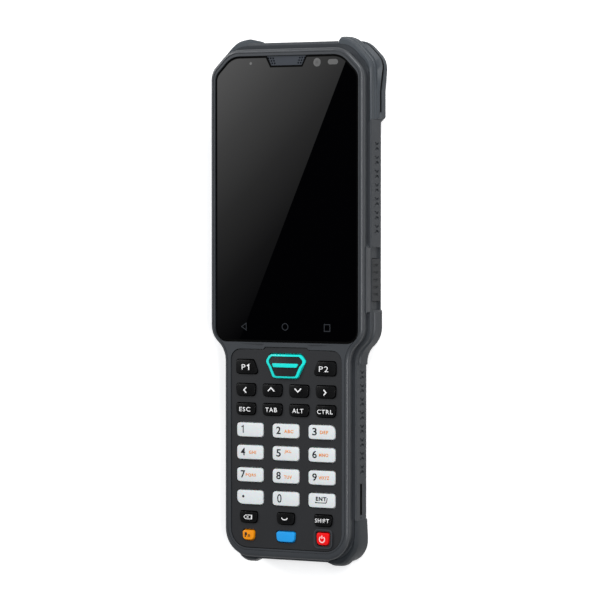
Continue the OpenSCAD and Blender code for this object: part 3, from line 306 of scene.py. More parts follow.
def moulded(name, colour, rough, grain_mm, depth, mottle=0.06, specular=0.5, subsurface=0.0):
    """Moulded plastic or rubber: an even, faintly mottled colour, with a grain in gloss and relief."""
    material, tree, output = new_material(name)
    place = add_node(tree, "TexCoord").outputs["Object"]
    cloud = add_node(tree, "TexNoise", {"Vector": place, "Scale": 60.0, "Detail": 3.0})
    shade = add_node(tree, "MapRange", {"Value": cloud.outputs["Fac"], "From Min": 0.3, "From Max": 0.7,
                                        "To Min": 1 - mottle, "To Max": 1 + mottle})
    tint = add_node(tree, "VectorMath", {0: linear(colour)[:3], "Scale": shade.outputs[0]},
                    operation="SCALE")
    grain = add_node(tree, "TexNoise", {"Vector": place, "Scale": 1 / (grain_mm * MM), "Detail": 2.0})
    gloss = add_node(tree, "MapRange", {"Value": grain.outputs["Fac"], "From Min": 0.3, "From Max": 0.7,
                                        "To Min": rough - 0.05, "To Max": rough + 0.05})
    relief = add_node(tree, "Bump", {"Height": grain.outputs["Fac"], "Strength": depth,
                                     "Distance": 0.05 * MM})
    surface = add_node(tree, "BsdfPrincipled", {
        "Base Color": tint.outputs[0], "Roughness": gloss.outputs[0], "Normal": relief.outputs[0],
        "IOR": 1.5, "Specular IOR Level": specular, "Subsurface Weight": subsurface,
        "Subsurface Scale": 0.5 * MM})
    tree.links.new(surface.outputs[0], output.inputs["Surface"])
    return material


# Spark erosion leaves pits of about 0.1 mm. They are drawn at 0.35 mm, so that they show as a soft
# sparkle.
housing_plastic = moulded("spark-eroded PC-ABS, slate grey", "#3a3d41", 0.42, 0.35, 0.25, specular=0.3)
rear = copy_of("rear_housing", bevel=None)
# The seal's bead fills the joint groove nearly up to the rim
GROOVE_FLOOR, BEAD_TOP, NEAR = 12.9, 13.6, 0.02
for vertex in rear.data.vertices:
    if abs(vertex.co.z / MM - GROOVE_FLOOR) < NEAR:
        vertex.co.z = BEAD_TOP * MM
break_edges(rear, 0.15)
dress(rear, housing_plastic)

# --------------------------------------------------------------- inside the housings
# A magnesium midframe carries the main board, its tinned shield cans and the switches.
# All of it is hidden once the terminal is closed, so it keeps its plain CAD shapes.


def metal(name, colour, rough, brush_mm, depth, stretch=(1, 1, 1), metallic=1.0):
    """Metal: brushed along one axis where stretch says so, otherwise cast, plated or bead-blasted."""
    material, tree, output = new_material(name)
    place = add_node(tree, "TexCoord").outputs["Object"]
    brushed = add_node(tree, "Mapping", {"Vector": place, "Scale": stretch})
    lines = add_node(tree, "TexNoise", {"Vector": brushed.outputs[0], "Scale": 1 / (brush_mm * MM),
                                        "Detail": 3.0})
    gloss = add_node(tree, "MapRange", {"Value": lines.outputs["Fac"], "From Min": 0.3, "From Max": 0.7,
                                        "To Min": rough - 0.07, "To Max": rough + 0.07})
    relief = add_node(tree, "Bump", {"Height": lines.outputs["Fac"], "Strength": depth,
                                     "Distance": 0.03 * MM})
    surface = add_node(tree, "BsdfPrincipled", {
        "Base Color": linear(colour), "Metallic": metallic, "Roughness": gloss.outputs[0],
        "Normal": relief.outputs[0]})
    tree.links.new(surface.outputs[0], output.inputs["Surface"])
    return material


def paint(names, material):
    """Gives CAD nodes that stay as they are their material."""
    for name in names:
        nodes[name].data.materials.clear()
        nodes[name].data.materials.append(material)


# Thixomoulded magnesium is dull and a little cloudy
cast_magnesium = metal("thixomoulded magnesium", "#9a9b9c", 0.55, 0.8, 0.3)
paint(("midframe",), cast_magnesium)
# Drawn tinplate is bright, with faint rolling lines along the board
tinplate = metal("drawn tinplate", "#c6c6c2", 0.3, 0.3, 0.15, stretch=(8, 1, 1))
paint(("shield_cans",), tinplate)
# The switches' domes and shells and the cover's pin are plain bright stainless
stainless = metal("rolled stainless steel", "#b9bbbd", 0.28, 0.25, 0.12, stretch=(1, 6, 1))
paint(("dome_switches", "side_switches", "usb_cover_pin"), stainless)


def circuit_board(name, mask, copper, track_mm):
    """FR4 under solder mask: the copper below shows as a paler maze of right-angled tracks."""
    material, tree, output = new_material(name)
    place = add_node(tree, "TexCoord").outputs["Object"]
    tracks = add_node(tree, "TexBrick", {"Vector": place, "Scale": 1 / (track_mm * 4 * MM),
                                         "Color1": linear(mask), "Color2": linear(copper),
                                         "Mortar": linear(mask), "Mortar Size": 0.03})
    surface = add_node(tree, "BsdfPrincipled", {"Base Color": tracks.outputs["Color"],
                                                "Roughness": 0.35, "IOR": 1.5})
    tree.links.new(surface.outputs[0], output.inputs["Surface"])
    return material


# Solder mask is a thin glossy green film, paler where it lies on copper
fr4 = circuit_board("solder-masked FR4", "#0f4a2c", "#1a6238", 0.6)
paint(("main_board", "keypad_board"), fr4)

# --------------------------------------------------------------- scan engine and window
# The scan engine is a black-anodised aluminium block with two round openings for its lenses. It looks
# out of the head end through a dark red cast acrylic window that passes the aiming light.


def clear(name, colour):
    """Clear material that tints what is behind it."""
    material, tree, output = new_material(name)
    place = add_node(tree, "TexCoord").outputs["Object"]
    waves = add_node(tree, "TexNoise", {"Vector": place, "Scale": 150.0, "Detail": 1.0})
    relief = add_node(tree, "Bump", {"Height": waves.outputs["Fac"], "Strength": 0.03,
                                     "Distance": 0.05 * MM})
    surface = add_node(tree, "BsdfPrincipled", {
        "Base Color": linear(colour), "Roughness": 0.02, "IOR": 1.5, "Transmission Weight": 1.0,
        "Normal": relief.outputs[0]})
    tree.links.new(surface.outputs[0], output.inputs["Surface"])
    return material


# Anodising keeps the milled block's satin and turns it charcoal
anodised = metal("milled aluminium, black anodised", "#2a2b2d", 0.42, 0.2, 0.15, stretch=(6, 1, 1),
                 metallic=0.6)
dress(copy_of("scan_engine", bevel=0.2), anodised)
# Cast acrylic is glossy and slightly wavy, and nearly black until light comes through it
red_acrylic = clear("cast acrylic, filter red", "#5a0a10")
dress(copy_of("scan_window", bevel=0.15), red_acrylic)

# --------------------------------------------------------------- rear camera and loudspeaker
# The camera's black barrel stands behind a flush round window in the hump, and the loudspeaker
# fires through slots in the back.

# Glass-filled nylon, matte black, moulded with a smooth satin
lens_black = moulded("moulded nylon, lens black", "#0d0d0f", 0.38, 0.3, 0.1)
dress(copy_of("rear_camera", bevel=0.1), lens_black)
paint(("loudspeaker", "earpiece_speaker"), lens_black)
# Anti-reflection coating leaves a cold blue-grey tint on the window
coated_glass = clear("ground and coated camera glass", "#aab8c8")
dress(copy_of("camera_window", bevel=0.1), coated_glass)

# --------------------------------------------------------------- connector, cover and contacts
# A deep-drawn stainless connector sits in the bottom end behind a TPU flap on a steel pin.
# Gold-plated contacts in the back charge the terminal in its cradle.

dress(copy_of("usb_connector", bevel=0.08), stainless)
# TPU flap rubber is softer and blacker than the housing, with almost no sheen
flap_rubber = moulded("moulded TPU, flap grey", "#2c2e31", 0.62, 0.3, 0.2)
dress(copy_of("usb_cover", bevel=0.12), flap_rubber)
# Hard gold over nickel, polished by the cradle's pins
hard_gold = metal("hard gold plate", "#d8a648", 0.25, 0.15, 0.1)
dress(copy_of("charging_contacts", bevel=0.08), hard_gold)

# --------------------------------------------------------------- seal and screws
# A russet silicone cord seals the joint between the shells, and six blackened steel screws close
# it from the back.

# Seal silicone is matte, in the russet that shows an inspector a pinched seal
silicone = moulded("moulded silicone, russet", "#7c5031", 0.6, 0.25, 0.1)
paint(("housing_gasket",), silicone)
# Black zinc keeps a dark satin shine on the screw heads
black_zinc = metal("black zinc-plated steel", "#3a3a3c", 0.38, 0.2, 0.15, metallic=0.9)
dress(copy_of("housing_screws", bevel=0.08), black_zinc)

# --------------------------------------------------------------- front housing
# One moulded frame round the glass and the keypad, in the same grained PC/ABS as the rear shell.
# Screws from the back draw it down onto the seal.

# The frame is polished a little finer, and its shoulder catches the light
frame_plastic = moulded("fine-textured PC-ABS, slate grey", "#35383c", 0.38, 0.35, 0.2,
                        specular=0.6)
dress(copy_of("front_housing"), frame_plastic)

# --------------------------------------------------------------- corner bumpers
# Soft polyurethane, overmoulded on the four corners where a dropped terminal lands. Each bumper is
# let into its corner of the shells and stands proud of them.

# The upper bumpers' TPU is painted a shade lighter than the shells, as painted light, and the lower
# bumpers' darker, as painted shade. Its finer grain keeps a softer, broader sheen
bumper_rubber = moulded("overmoulded TPU, slate grey, painted lighter", "#42474c", 0.45, 0.3, 0.2, specular=0.3)
shaded_bumper_rubber = moulded("overmoulded TPU, painted darker in shade", "#2b2f33", 0.42, 0.3, 0.2, specular=0.35)
END_BAND, END_SHIFT = 0.3 * MM, 0.45 * MM
# Upper bumpers take the lighter copy and lower bumpers the darker one: painted light and painted shade
for node, rubber in (("upper_bumpers", bumper_rubber), ("lower_bumpers", shaded_bumper_rubber)):
    bumpers = copy_of(node, bevel=None)
    # Their ends are drawn towards the middle, until they bear on the housing
    ends = min(abs(vertex.co.x) for vertex in bumpers.data.vertices) + END_BAND
    for vertex in bumpers.data.vertices:
        if abs(vertex.co.x) < ends:
            vertex.co.x -= math.copysign(END_SHIFT, vertex.co.x)
    break_edges(bumpers, 0.15)
    dress(bumpers, rubber)

# Each upper bumper flares out over the slot, down to the bead behind it. The flare follows the
# corner from the side to the end, and its section is worked out from the bumper's own surfaces.
mesh = nodes["upper_bumpers"].data
surfaces = BVHTree.FromPolygons([v.co for v in mesh.vertices], [p.vertices for p in mesh.polygons])
CORNER = (28.0, 96.0)
TERRACE_Z, LIP_Z, SLOT_Z, BEAD_Z = 8.45, 7.35, 7.15, 4.5
# How far in from those surfaces the flare starts, the lip stops and the flare's foot lies, and the
# least that the lip stands out. The section of the painted shade strip in the slot is given by how far
# in and how high it lies.
FLARE_IN, LIP_IN, FOOT_IN, LEAST = 0.25, 0.28, 0.3, 0.02
SLOT_SHADE_SECTION = ((0.36, 5.6), (0.36, 7.2), (2.0, 7.2), (2.0, 5.6))
# A near-black strip set into the slots is painted shade: it shows as a plain dull black line
painted_shade_black = moulded("painted shade, dull black", "#050505", 0.7, 0.4, 0.01, mottle=0.1,
                      specular=0.1)


def swept(name, sections, material):
    """A bar through closed sections, each a list of points in millimetres with the same count."""
    corners = len(sections[0])
    points = [Vector(point) * MM for section in sections for point in section]
    faces = [tuple(range(corners))[::-1], tuple(range(len(points) - corners, len(points)))]
    for first in range(0, len(points) - corners, corners):
        for i in range(corners):
            j = (i + 1) % corners
            faces.append((first + i, first + j, first + corners + j, first + corners + i))
    mesh = bpy.data.meshes.new(name)
    mesh.from_pydata(points, [], faces)
    piece = bpy.data.objects.new(name, mesh)
    bpy.context.scene.collection.objects.link(piece)
    pick(piece)
    bpy.ops.object.mode_set(mode="EDIT")
    bpy.ops.mesh.select_all(action="SELECT")
    bpy.ops.mesh.normals_make_consistent(inside=False)
    bpy.ops.object.mode_set(mode="OBJECT")
    bpy.ops.object.shade_smooth_by_angle(angle=math.radians(30))
    dress(piece, material)
    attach(piece, ROOT)


OUTSIDE = 20


def surface_at(side, way, start, z):
    """The bumper's outer surface at a height, met from outside along a way into the corner."""
    origin = Vector((side * (start.x + way.x * OUTSIDE), start.y + way.y * OUTSIDE, z)) * MM
    hit = surfaces.ray_cast(origin, Vector((-side * way.x, -way.y, 0)))[0]
    return Vector((side * hit.x, hit.y)) / MM


# The ways out of a corner: straight out of the side, then turning by five degrees to the end
ways = [(Vector((1, 0)), Vector((CORNER[0], y))) for y in (82.2, 85.0, 88.0, 91.0, 94.0)]
ways += [(Vector((math.cos(turn), math.sin(turn))), Vector(CORNER))
         for turn in map(math.radians, range(0, 80, 5))]
for side, name in ((1, "right"), (-1, "left")):
    flare, slot_shade = [], []
    for way, start in ways:
        terrace, slot_edge, bead = [surface_at(side, way, start, z)
                                    for z in (TERRACE_Z, LIP_Z, BEAD_Z)]
        lip = bead - way * LIP_IN
        if (lip - slot_edge).dot(way) < LEAST:
            lip = slot_edge + way * LEAST
        flare.append([(*(terrace - way * FLARE_IN), TERRACE_Z),
                      (*(terrace - way * LEAST), TERRACE_Z), (*lip, LIP_Z), (*lip, SLOT_Z),
                      (*(slot_edge - way * FOOT_IN), SLOT_Z)])
        slot_shade.append([(*(bead - way * inset), z) for inset, z in SLOT_SHADE_SECTION])
    # The second sweep is the near-black strip of painted shade in each bumper slot
    for part, rows, rubber, slot in (("upper_bumper_flare_", flare, bumper_rubber, "bumper_rubber"),
                                     ("upper_bumper_slot_shade_", slot_shade, painted_shade_black, None)):
        swept(part + name, [[(side * x, y, z) for x, y, z in row] for row in rows], rubber)

# A near-black lining set into the slot for a strap in the right side of the grip, lips outwards, is
# painted shade in the slot
STRAP_DEEP, STRAP_FACE, STRAP_LOW, STRAP_HIGH = 30.15, 31.72, 8.6, 10.4
STRAP_ENDS, STRAP_FLOOR, STRAP_LIP = (-92.55, -78.65), 0.1, 0.4
floor_x, lip_low, lip_high = STRAP_DEEP + STRAP_FLOOR, STRAP_LOW + STRAP_LIP, STRAP_HIGH - STRAP_LIP
strap_shade_section = [(STRAP_FACE, STRAP_LOW), (STRAP_FACE, lip_low), (floor_x, lip_low), (floor_x, lip_high),
          (STRAP_FACE, lip_high), (STRAP_FACE, STRAP_HIGH), (STRAP_DEEP, STRAP_HIGH),
          (STRAP_DEEP, STRAP_LOW)]
swept("strap_slot_painted_shade", [[(x, y, z) for x, z in strap_shade_section] for y in STRAP_ENDS], painted_shade_black)

# --------------------------------------------------------------- side keys
# Ribbed rubber keys in a recess of each side face, compression moulded in one piece. Lugs hold each
# key behind the wall, over its switch on the main board.

# Silicone rubber from a textured mould: dull, almost black between the ribs
key_rubber = moulded("compression-moulded silicone rubber", "#222427", 0.58, 0.3, 0.2)
for node in ("side_key_right", "side_key_left"):
    dress(copy_of(node, bevel=0.18), key_rubber)

# --------------------------------------------------------------- glass, camera and earpiece
# One sheet of chemically strengthened glass, printed black on its back and ground at its edges,
# lies over the display. The front camera looks through it and the earpiece sits in its top edge.

# The black print makes the whole sheet a dark mirror
glass, tree, output = new_material("strengthened glass, printed black")
place = add_node(tree, "TexCoord").outputs["Object"]
smears = add_node(tree, "TexNoise", {"Vector": place, "Scale": 25.0, "Detail": 4.0})
gloss = add_node(tree, "MapRange", {"Value": smears.outputs["Fac"], "From Min": 0.35,
                                    "From Max": 0.7, "To Min": 0.0, "To Max": 0.008})
surface = add_node(tree, "BsdfPrincipled", {"Base Color": linear("#020203"),
                                            "Roughness": gloss.outputs[0], "IOR": 1.5})
tree.links.new(surface.outputs[0], output.inputs["Surface"])
# A fully matte black margin is painted shade along the frame's inner wall, so that a black line sets
# the glass off from the frame
painted_shade_margin = moulded("painted shade, matte black margin", "#020202", 0.7, 0.3, 0.01, mottle=0.1,
                       specular=0.05)
SHADE_MARGIN = 0.75


def choose_faces(piece, wanted):
    """Opens the active piece in edit mode, with the wanted faces selected."""
    bpy.ops.object.mode_set(mode="EDIT")
    bpy.ops.mesh.select_mode(type="FACE")
    bpy.ops.mesh.select_all(action="DESELECT")
    bpy.ops.object.mode_set(mode="OBJECT")
    for face in piece.data.polygons:
        face.select = wanted(face)
    bpy.ops.object.mode_set(mode="EDIT")


sheet = copy_of("touch_glass", bevel=None)
dress(sheet, glass)
# Its ground edge and a narrow margin round its top are painted matte black, as painted shade
sheet.data.materials.append(painted_shade_margin)
choose_faces(sheet, lambda face: face.normal.z > 0.999)
bpy.ops.mesh.inset(thickness=SHADE_MARGIN * MM)
bpy.ops.object.mode_set(mode="OBJECT")
for face in sheet.data.polygons:
    face.material_index = 0 if face.select else 1
break_edges(sheet, 0.15, 3)
paint(("display_module",), anodised)
paint(("front_camera",), lens_black)

# The grille is an etched steel strip, painted blue-grey, and matte
grille_paint = moulded("etched steel, painted blue-grey", "#2b3038", 0.5, 0.25, 0.15)
dress(copy_of("earpiece_grille", bevel=0.06), grille_paint)


# The thickness of the windows' film, and of printed ink, drawn thick enough to show
FILM = 0.03


def smooth_disc(name, x, y, radius, rings):
    """A thin round window on the glass. rings are insets, each with the rise of what lies in it."""
    bpy.ops.object.select_all(action="DESELECT")
    bpy.ops.mesh.primitive_cylinder_add(vertices=64, radius=radius * MM, depth=FILM * MM,
                                        location=(x * MM, y * MM, GLASS_Z))
    piece = bpy.context.object
    piece.name = name
    bpy.ops.object.transform_apply(location=True)
    choose_faces(piece, lambda face: face.normal.z > 0.9)
    for inset, rise in rings:
        bpy.ops.mesh.inset(thickness=inset * MM)
        bpy.ops.transform.translate(value=(0, 0, rise * MM))
    bpy.ops.object.mode_set(mode="OBJECT")
    bpy.ops.object.shade_smooth_by_angle(angle=math.radians(30))
    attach(piece, ROOT)
    return piece


def behind_glass(name, colour, centre=(0, 0), dark=None, radius=1.0):
    """A window left in the black print: gloss over a grey, which may darken to its middle."""
    material, tree, output = new_material(name)
    place = add_node(tree, "TexCoord").outputs["Object"]
    surface = add_node(tree, "BsdfPrincipled", {"Base Color": linear(colour), "Roughness": 0.03,
                                                "IOR": 1.5})
    if dark:
        moved = add_node(tree, "Mapping", {
            "Vector": place, "Location": (-centre[0] / radius, -centre[1] / radius, 0),
            "Scale": (1 / (radius * MM), 1 / (radius * MM), 0)})
        away = add_node(tree, "VectorMath", {0: moved.outputs[0]}, operation="LENGTH")
        ramp = add_node(tree, "ValToRGB", {"Fac": away.outputs["Value"]})
        ramp.color_ramp.elements[0].color = linear(dark)
        ramp.color_ramp.elements[1].color = linear(colour)
        ramp.color_ramp.elements[1].position = 0.7
        tree.links.new(ramp.outputs["Color"], surface.inputs["Base Color"])
    tree.links.new(surface.outputs[0], output.inputs["Surface"])
    return material


# Windows in the print are smoked grey, because the print is thinned there and not left out
smoked = behind_glass("thinned print under glass", "#585858")
dress(smooth_disc("status_light", -18.0, 103.8, 0.63, ((0.12, -0.005),)), smoked)
LENS_X, LENS_Y, LENS_RADIUS = 15.44, 103.6, 1.83
lens_grey = behind_glass("camera seen through the glass", "#5a5a5a", (LENS_X, LENS_Y), "#474747",
                         LENS_RADIUS)
lens = smooth_disc("front_camera_window", LENS_X, LENS_Y, LENS_RADIUS, ((0.2, 0.005), (0.75, -0.005)))
dress(lens, lens_grey)


def ribbon(path, width, closed):
    """The two mitred edges of a line of some width along a path, and the faces between them."""
    points = [Vector(p) for p in path]
    count = len(points)
    sides = []
    for i, point in enumerate(points):
        before = points[i - 1] if closed or i else None
        after = points[(i + 1) % count] if closed or i + 1 < count else None
        ways = [(point - before).normalized()] if before is not None else []
        ways += [(after - point).normalized()] if after is not None else []
        along = (ways[0] + ways[-1]).normalized()
        normal = Vector((-along.y, along.x))
        reach = width / 2 / max(0.5, along.dot(ways[0]))
        sides.append((point - normal * reach, point + normal * reach))
    faces = [(2 * i, 2 * ((i + 1) % count), 2 * ((i + 1) % count) + 1, 2 * i + 1)
             for i in range(count if closed else count - 1)]
    return [p for pair in sides for p in pair], faces


def arc(x, y, radius, start, end, steps):
    """Points along an arc, its angles in degrees."""
    return [(x + radius * math.cos(math.radians(start + (end - start) * i / steps)),
             y + radius * math.sin(math.radians(start + (end - start) * i / steps)))
            for i in range(steps + 1)]


# The radius of the keys' crowned tops, and how far ink stands off what it is printed on
KEY_CROWN = 40.0
INK_RISE = 0.02


def crown_sag(x, y):
    """How far a key's crown lies below its middle, in millimetres."""
    return KEY_CROWN - math.sqrt(KEY_CROWN ** 2 - x * x - y * y)


def print_on(piece, name, centre, top, crowned, ink, body):
    """Lays a flat drawing in millimetres on a key's crown or on a flat face, as a film of ink."""
    pick(piece)
    bpy.ops.object.mode_set(mode="EDIT")
    bpy.ops.mesh.select_all(action="SELECT")
    bpy.ops.mesh.remove_doubles(threshold=0.001)
    bpy.ops.mesh.subdivide(number_cuts=2)
    bpy.ops.object.mode_set(mode="OBJECT")
    for vertex in piece.data.vertices:
        x, y = vertex.co.x, vertex.co.y
        sag = crown_sag(x, y) if crowned else 0.0
        vertex.co = Vector((centre[0] + x * MM, centre[1] + y * MM, top + (INK_RISE - sag) * MM))
    film = piece.modifiers.new("ink film", "SOLIDIFY")
    film.thickness = FILM * MM
    film.offset = -1.0
    bpy.ops.object.modifier_apply(modifier=film.name)
    piece.name = name
    dress(piece, ink)
    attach(piece, body)


def drawn(lines):
    """A flat drawing from lines, each of them a path, a width and whether it closes."""
    points, faces = [], []
    for path, width, closed in lines:
        more, links = ribbon(path, width, closed)
        faces += [tuple(i + len(points) for i in face) for face in links]
        points += [(p[0], p[1], 0.0) for p in more]
    mesh = bpy.data.meshes.new("drawing")
    mesh.from_pydata(points, [], faces)
    piece = bpy.data.objects.new("drawing", mesh)
    bpy.context.scene.collection.objects.link(piece)
    return piece


def printed_ink(name, colour):
    """Pad-printed ink: an even film with a slightly ragged coverage."""
    material, tree, output = new_material(name)
    place = add_node(tree, "TexCoord").outputs["Object"]
    cover = add_node(tree, "TexNoise", {"Vector": place, "Scale": 1 / (0.4 * MM), "Detail": 2.0})
    shade = add_node(tree, "MapRange", {"Value": cover.outputs["Fac"], "To Min": 0.9,
                                        "To Max": 1.06})
    tint = add_node(tree, "VectorMath", {0: linear(colour)[:3], "Scale": shade.outputs[0]},
                    operation="SCALE")
    surface = add_node(tree, "BsdfPrincipled", {"Base Color": tint.outputs[0], "Roughness": 0.4,
                                                "IOR": 1.5})
    tree.links.new(surface.outputs[0], output.inputs["Surface"])
    return material


# The sensor window is a round-ended bar. The touch symbols below the screen are a faint grey print
# behind the glass.
faint_grey = behind_glass("grey print under glass", "#323438")
SENSOR_X, SENSOR_Y, SENSOR_LINE, SYMBOL_LINE = (21.93, 24.67), 103.7, 1.15, 0.35
ORIGIN = (0.0, 0.0)
for name, path, width, print_grey in (
        ("sensor_window", arc(SENSOR_X[1], SENSOR_Y, SENSOR_LINE / 2, -90, 90, 12)
         + arc(SENSOR_X[0], SENSOR_Y, SENSOR_LINE / 2, 90, 270, 12), SENSOR_LINE, smoked),
        ("touch_back", ((-20.3, -9.7), (-20.3, -12.7), (-22.6, -11.2)), SYMBOL_LINE, faint_grey),
        ("touch_home", arc(-0.6, -11.0, 1.45, 0, 345, 23), SYMBOL_LINE, faint_grey),
        ("touch_recent", ((19.0, -12.6), (21.8, -12.6), (21.8, -9.7), (19.0, -9.7)), SYMBOL_LINE,
         faint_grey)):
    print_on(drawn(((path, width, True),)), name, ORIGIN, GLASS_Z, False, print_grey, ROOT)

# --------------------------------------------------------------- keypad panel
# A separate panel of textured polycarbonate, nearly black, with a raised guard round the power key.
# It is dropped in over the keys' flanges and bonded to its ledge.

# The panel's texture is a little finer and duller than the shells'
panel_plastic = moulded("textured polycarbonate, near black", "#1b1c1f", 0.52, 0.3, 0.25)
dress(copy_of("keypad_panel", bevel=0.15), panel_plastic)

# A flat line in the shells' grey plastic, printed round the power key on its guard's rim, is a painted
# highlight
FLANGE, GUARD_HIGHLIGHT_OFF, GUARD_HIGHLIGHT_Z, GUARD_HIGHLIGHT_CORNER, GUARD_HIGHLIGHT_LINE = 0.6, 1.0, 20.2, 1.9, 0.5
guard_low, guard_high = [Vector(c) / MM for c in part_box("key_power")]
guard_middle = (guard_low + guard_high) / 2
highlight_half = ((guard_high - guard_low) / 2).xy - Vector((FLANGE - GUARD_HIGHLIGHT_OFF, FLANGE - GUARD_HIGHLIGHT_OFF))
rim_highlight_path = []
for way_x, way_y, start in ((1, -1, -90), (1, 1, 0), (-1, 1, 90), (-1, -1, 180)):
    corner_x = guard_middle.x + way_x * (highlight_half.x - GUARD_HIGHLIGHT_CORNER)
    corner_y = guard_middle.y + way_y * (highlight_half.y - GUARD_HIGHLIGHT_CORNER)
    rim_highlight_path += arc(corner_x, corner_y, GUARD_HIGHLIGHT_CORNER, start, start + 90, 6)
print_on(drawn(((rim_highlight_path, GUARD_HIGHLIGHT_LINE, True),)), "power_key_guard_painted_highlight", ORIGIN, GUARD_HIGHLIGHT_Z * MM, False,
         housing_plastic, ROOT)

# --------------------------------------------------------------- keys
# Each cap is moulded polycarbonate with a hard coat, crowned, on a flange under the panel.
# Black, pale and coloured caps are moulded in their own colours.

# A hard coat over black: glossier than the panel, so the caps read as deep black
black_cap = moulded("hard-coated polycarbonate, black", "#050506", 0.3, 0.4, 0.08, specular=0.3)
# Pale caps pass a little light from below, so their rounded edges look brighter than their tops
white_cap = moulded("hard-coated polycarbonate, pale grey", "#dde1e2", 0.34, 0.4, 0.06,
                    mottle=0.012, subsurface=0.1)
teal_cap = moulded("hard-coated polycarbonate, teal", "#0fe0d6", 0.32, 0.4, 0.05, mottle=0.012)
orange_cap = moulded("hard-coated polycarbonate, orange", "#f09204", 0.32, 0.4, 0.05, mottle=0.012)
blue_cap = moulded("hard-coated polycarbonate, blue", "#1f9ce8", 0.32, 0.4, 0.05, mottle=0.012)
red_cap = moulded("hard-coated polycarbonate, red", "#f00206", 0.32, 0.4, 0.05, mottle=0.012)

CAPS = {"key_scan": (teal_cap, "scan_key"), "key_function": (orange_cap, "orange_key"),
        "key_blue": (blue_cap, "blue_key"), "key_power": (red_cap, "red_key")}
for name in ["key_%d" % i for i in range(10)] + ["key_dot", "key_enter"]:
    CAPS[name] = (white_cap, "white_key")

# A cap tapers above this height, just inside its hole, by so much on each side and at each end
TAPER_Z = 19.5
TAPERS = {"black_key": (0.05, 0.22), "white_key": (0.15, 0.22),
          "orange_key": (0.3, 0.42), "blue_key": (0.3, 0.42), "red_key": (0.35, 0.40)}

key_tops = {}
for node in nodes:
    if node.startswith("key_"):
        corner, far_corner = [Vector(c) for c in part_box(node)]
        middle = (corner + far_corner) / 2
        key_tops[node] = (middle, far_corner.z)
        cap, slot = CAPS.get(node, (black_cap, "black_key"))
        key = copy_of(node, bevel=None)
        dress(key, cap)
        if node == "key_scan":
            scan_key = key
            continue
        # The taper opens the hole round the cap, so that a dark line of shade runs round it
        taper = Vector(TAPERS[slot])
        half = (far_corner - corner).xy / 2 / MM - Vector((FLANGE, FLANGE))
        for vertex in key.data.vertices:
            if vertex.co.z / MM > TAPER_Z:
                for axis in (0, 1):
                    vertex.co[axis] -= (vertex.co[axis] - middle[axis]) * taper[axis] / half[axis]
        break_edges(key, 0.35, 3)

# The scan key's rim is drawn in from its edge, and its bar is slim. Each knot is a place across the
# key, from its row, and how far the cap is moved there.
SCAN_ROW, BAR_LOW, BAR_HIGH, RIM, SCAN_NARROW = -28.1, -1.0, 1.4, 1.15, 0.985
above = [vertex for vertex in scan_key.data.vertices if vertex.co.z / MM > TAPER_Z]
edge_low = min(vertex.co.y for vertex in above) / MM - SCAN_ROW
edge_high = max(vertex.co.y for vertex in above) / MM - SCAN_ROW
knots = ((edge_low, 0.30), (edge_low + RIM, -0.20), (BAR_LOW, 0.50), (BAR_HIGH, -0.22),
         (edge_high - RIM, 0.0), (edge_high, -0.45))
for vertex in above:
    y = vertex.co.y / MM - SCAN_ROW
    for (start, first), (end, last) in zip(knots, knots[1:]):
        if start - 0.01 <= y <= end + 0.01:
            vertex.co.y += (first + (last - first) * (y - start) / (end - start)) * MM
            break
    vertex.co.x *= SCAN_NARROW
break_edges(scan_key, 0.15, 3)

# The scan key's sunk field carries a dark satin inlay, which leaves its rim and bar in teal
inlay = own_copy(scan_key, "scan_key_inlay")
scan_middle, scan_top = key_tops["key_scan"]
FIELD_DEPTH, FIELD_BAND, INLAY_RISE, INLAY = 0.45, 0.12, 0.03, 0.06


def off_the_field(face):
    """Whether a face of the scan key is on its rim, bar or sides."""
    place = (face.center - scan_middle).xy / MM
    field_z = scan_top - (crown_sag(place.x, place.y) + FIELD_DEPTH) * MM
    return face.normal.z < 0.9 or abs(face.center.z - field_z) > FIELD_BAND * MM


pick(inlay)
choose_faces(inlay, off_the_field)
bpy.ops.mesh.delete(type="FACE")
bpy.ops.mesh.select_all(action="SELECT")
bpy.ops.transform.translate(value=(0, 0, INLAY_RISE * MM))
bpy.ops.object.mode_set(mode="OBJECT")
film = inlay.modifiers.new("inlay film", "SOLIDIFY")
film.thickness = INLAY * MM
film.offset = -1.0
bpy.ops.object.modifier_apply(modifier=film.name)
# Satin black polyester film, a touch warmer than the caps
inlay_film = moulded("satin polyester film, black", "#17171a", 0.4, 0.25, 0.1)
dress(inlay, inlay_film)
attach(inlay, nodes["key_scan"]["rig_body"])

# --------------------------------------------------------------- key legends
# The legends are pad-printed: white on the black caps, dark digits and small orange letters on the
# pale ones. Each is drawn flat in millimetres from its key's middle, then laid on the cap's crown.

white_ink = printed_ink("pad-printed ink, white", "#f8f8f8")
dark_ink = printed_ink("pad-printed ink, charcoal", "#121317")
orange_ink = printed_ink("pad-printed ink, orange", "#ea8a28")
brown_ink = printed_ink("pad-printed ink, dark brown", "#2e1806")
rose_ink = printed_ink("pad-printed ink, pale rose", "#ffdcdc")


def lettered(text, x, y, width, height, bold=0.0):
    """Words as a flat mesh of a height in millimetres, and of a width unless that is None."""
    bpy.ops.object.select_all(action="DESELECT")
    bpy.ops.object.text_add()
    words = bpy.context.object
    words.data.body = text
    words.data.offset = bold
    words.data.space_character = 1.18
    words.data.resolution_u = 4
    bpy.ops.object.convert(target="MESH")
    piece = bpy.context.object
    corners = [v.co.copy() for v in piece.data.vertices]
    low = Vector((min(c.x for c in corners), min(c.y for c in corners)))
    high = Vector((max(c.x for c in corners), max(c.y for c in corners)))
    tall = height / (high.y - low.y)
    wide = width / (high.x - low.x) if width else tall
    middle = (low + high) / 2
    for vertex in piece.data.vertices:
        vertex.co = Vector((x + (vertex.co.x - middle.x) * wide,
                            y + (vertex.co.y - middle.y) * tall, 0.0))
    return piece


def legend(piece, name, key, ink):
    """Prints a flat drawing on a key, on which it then rides."""
    middle, top = key_tops[key]
    print_on(piece, name, middle, top, True, ink, nodes[key]["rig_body"])


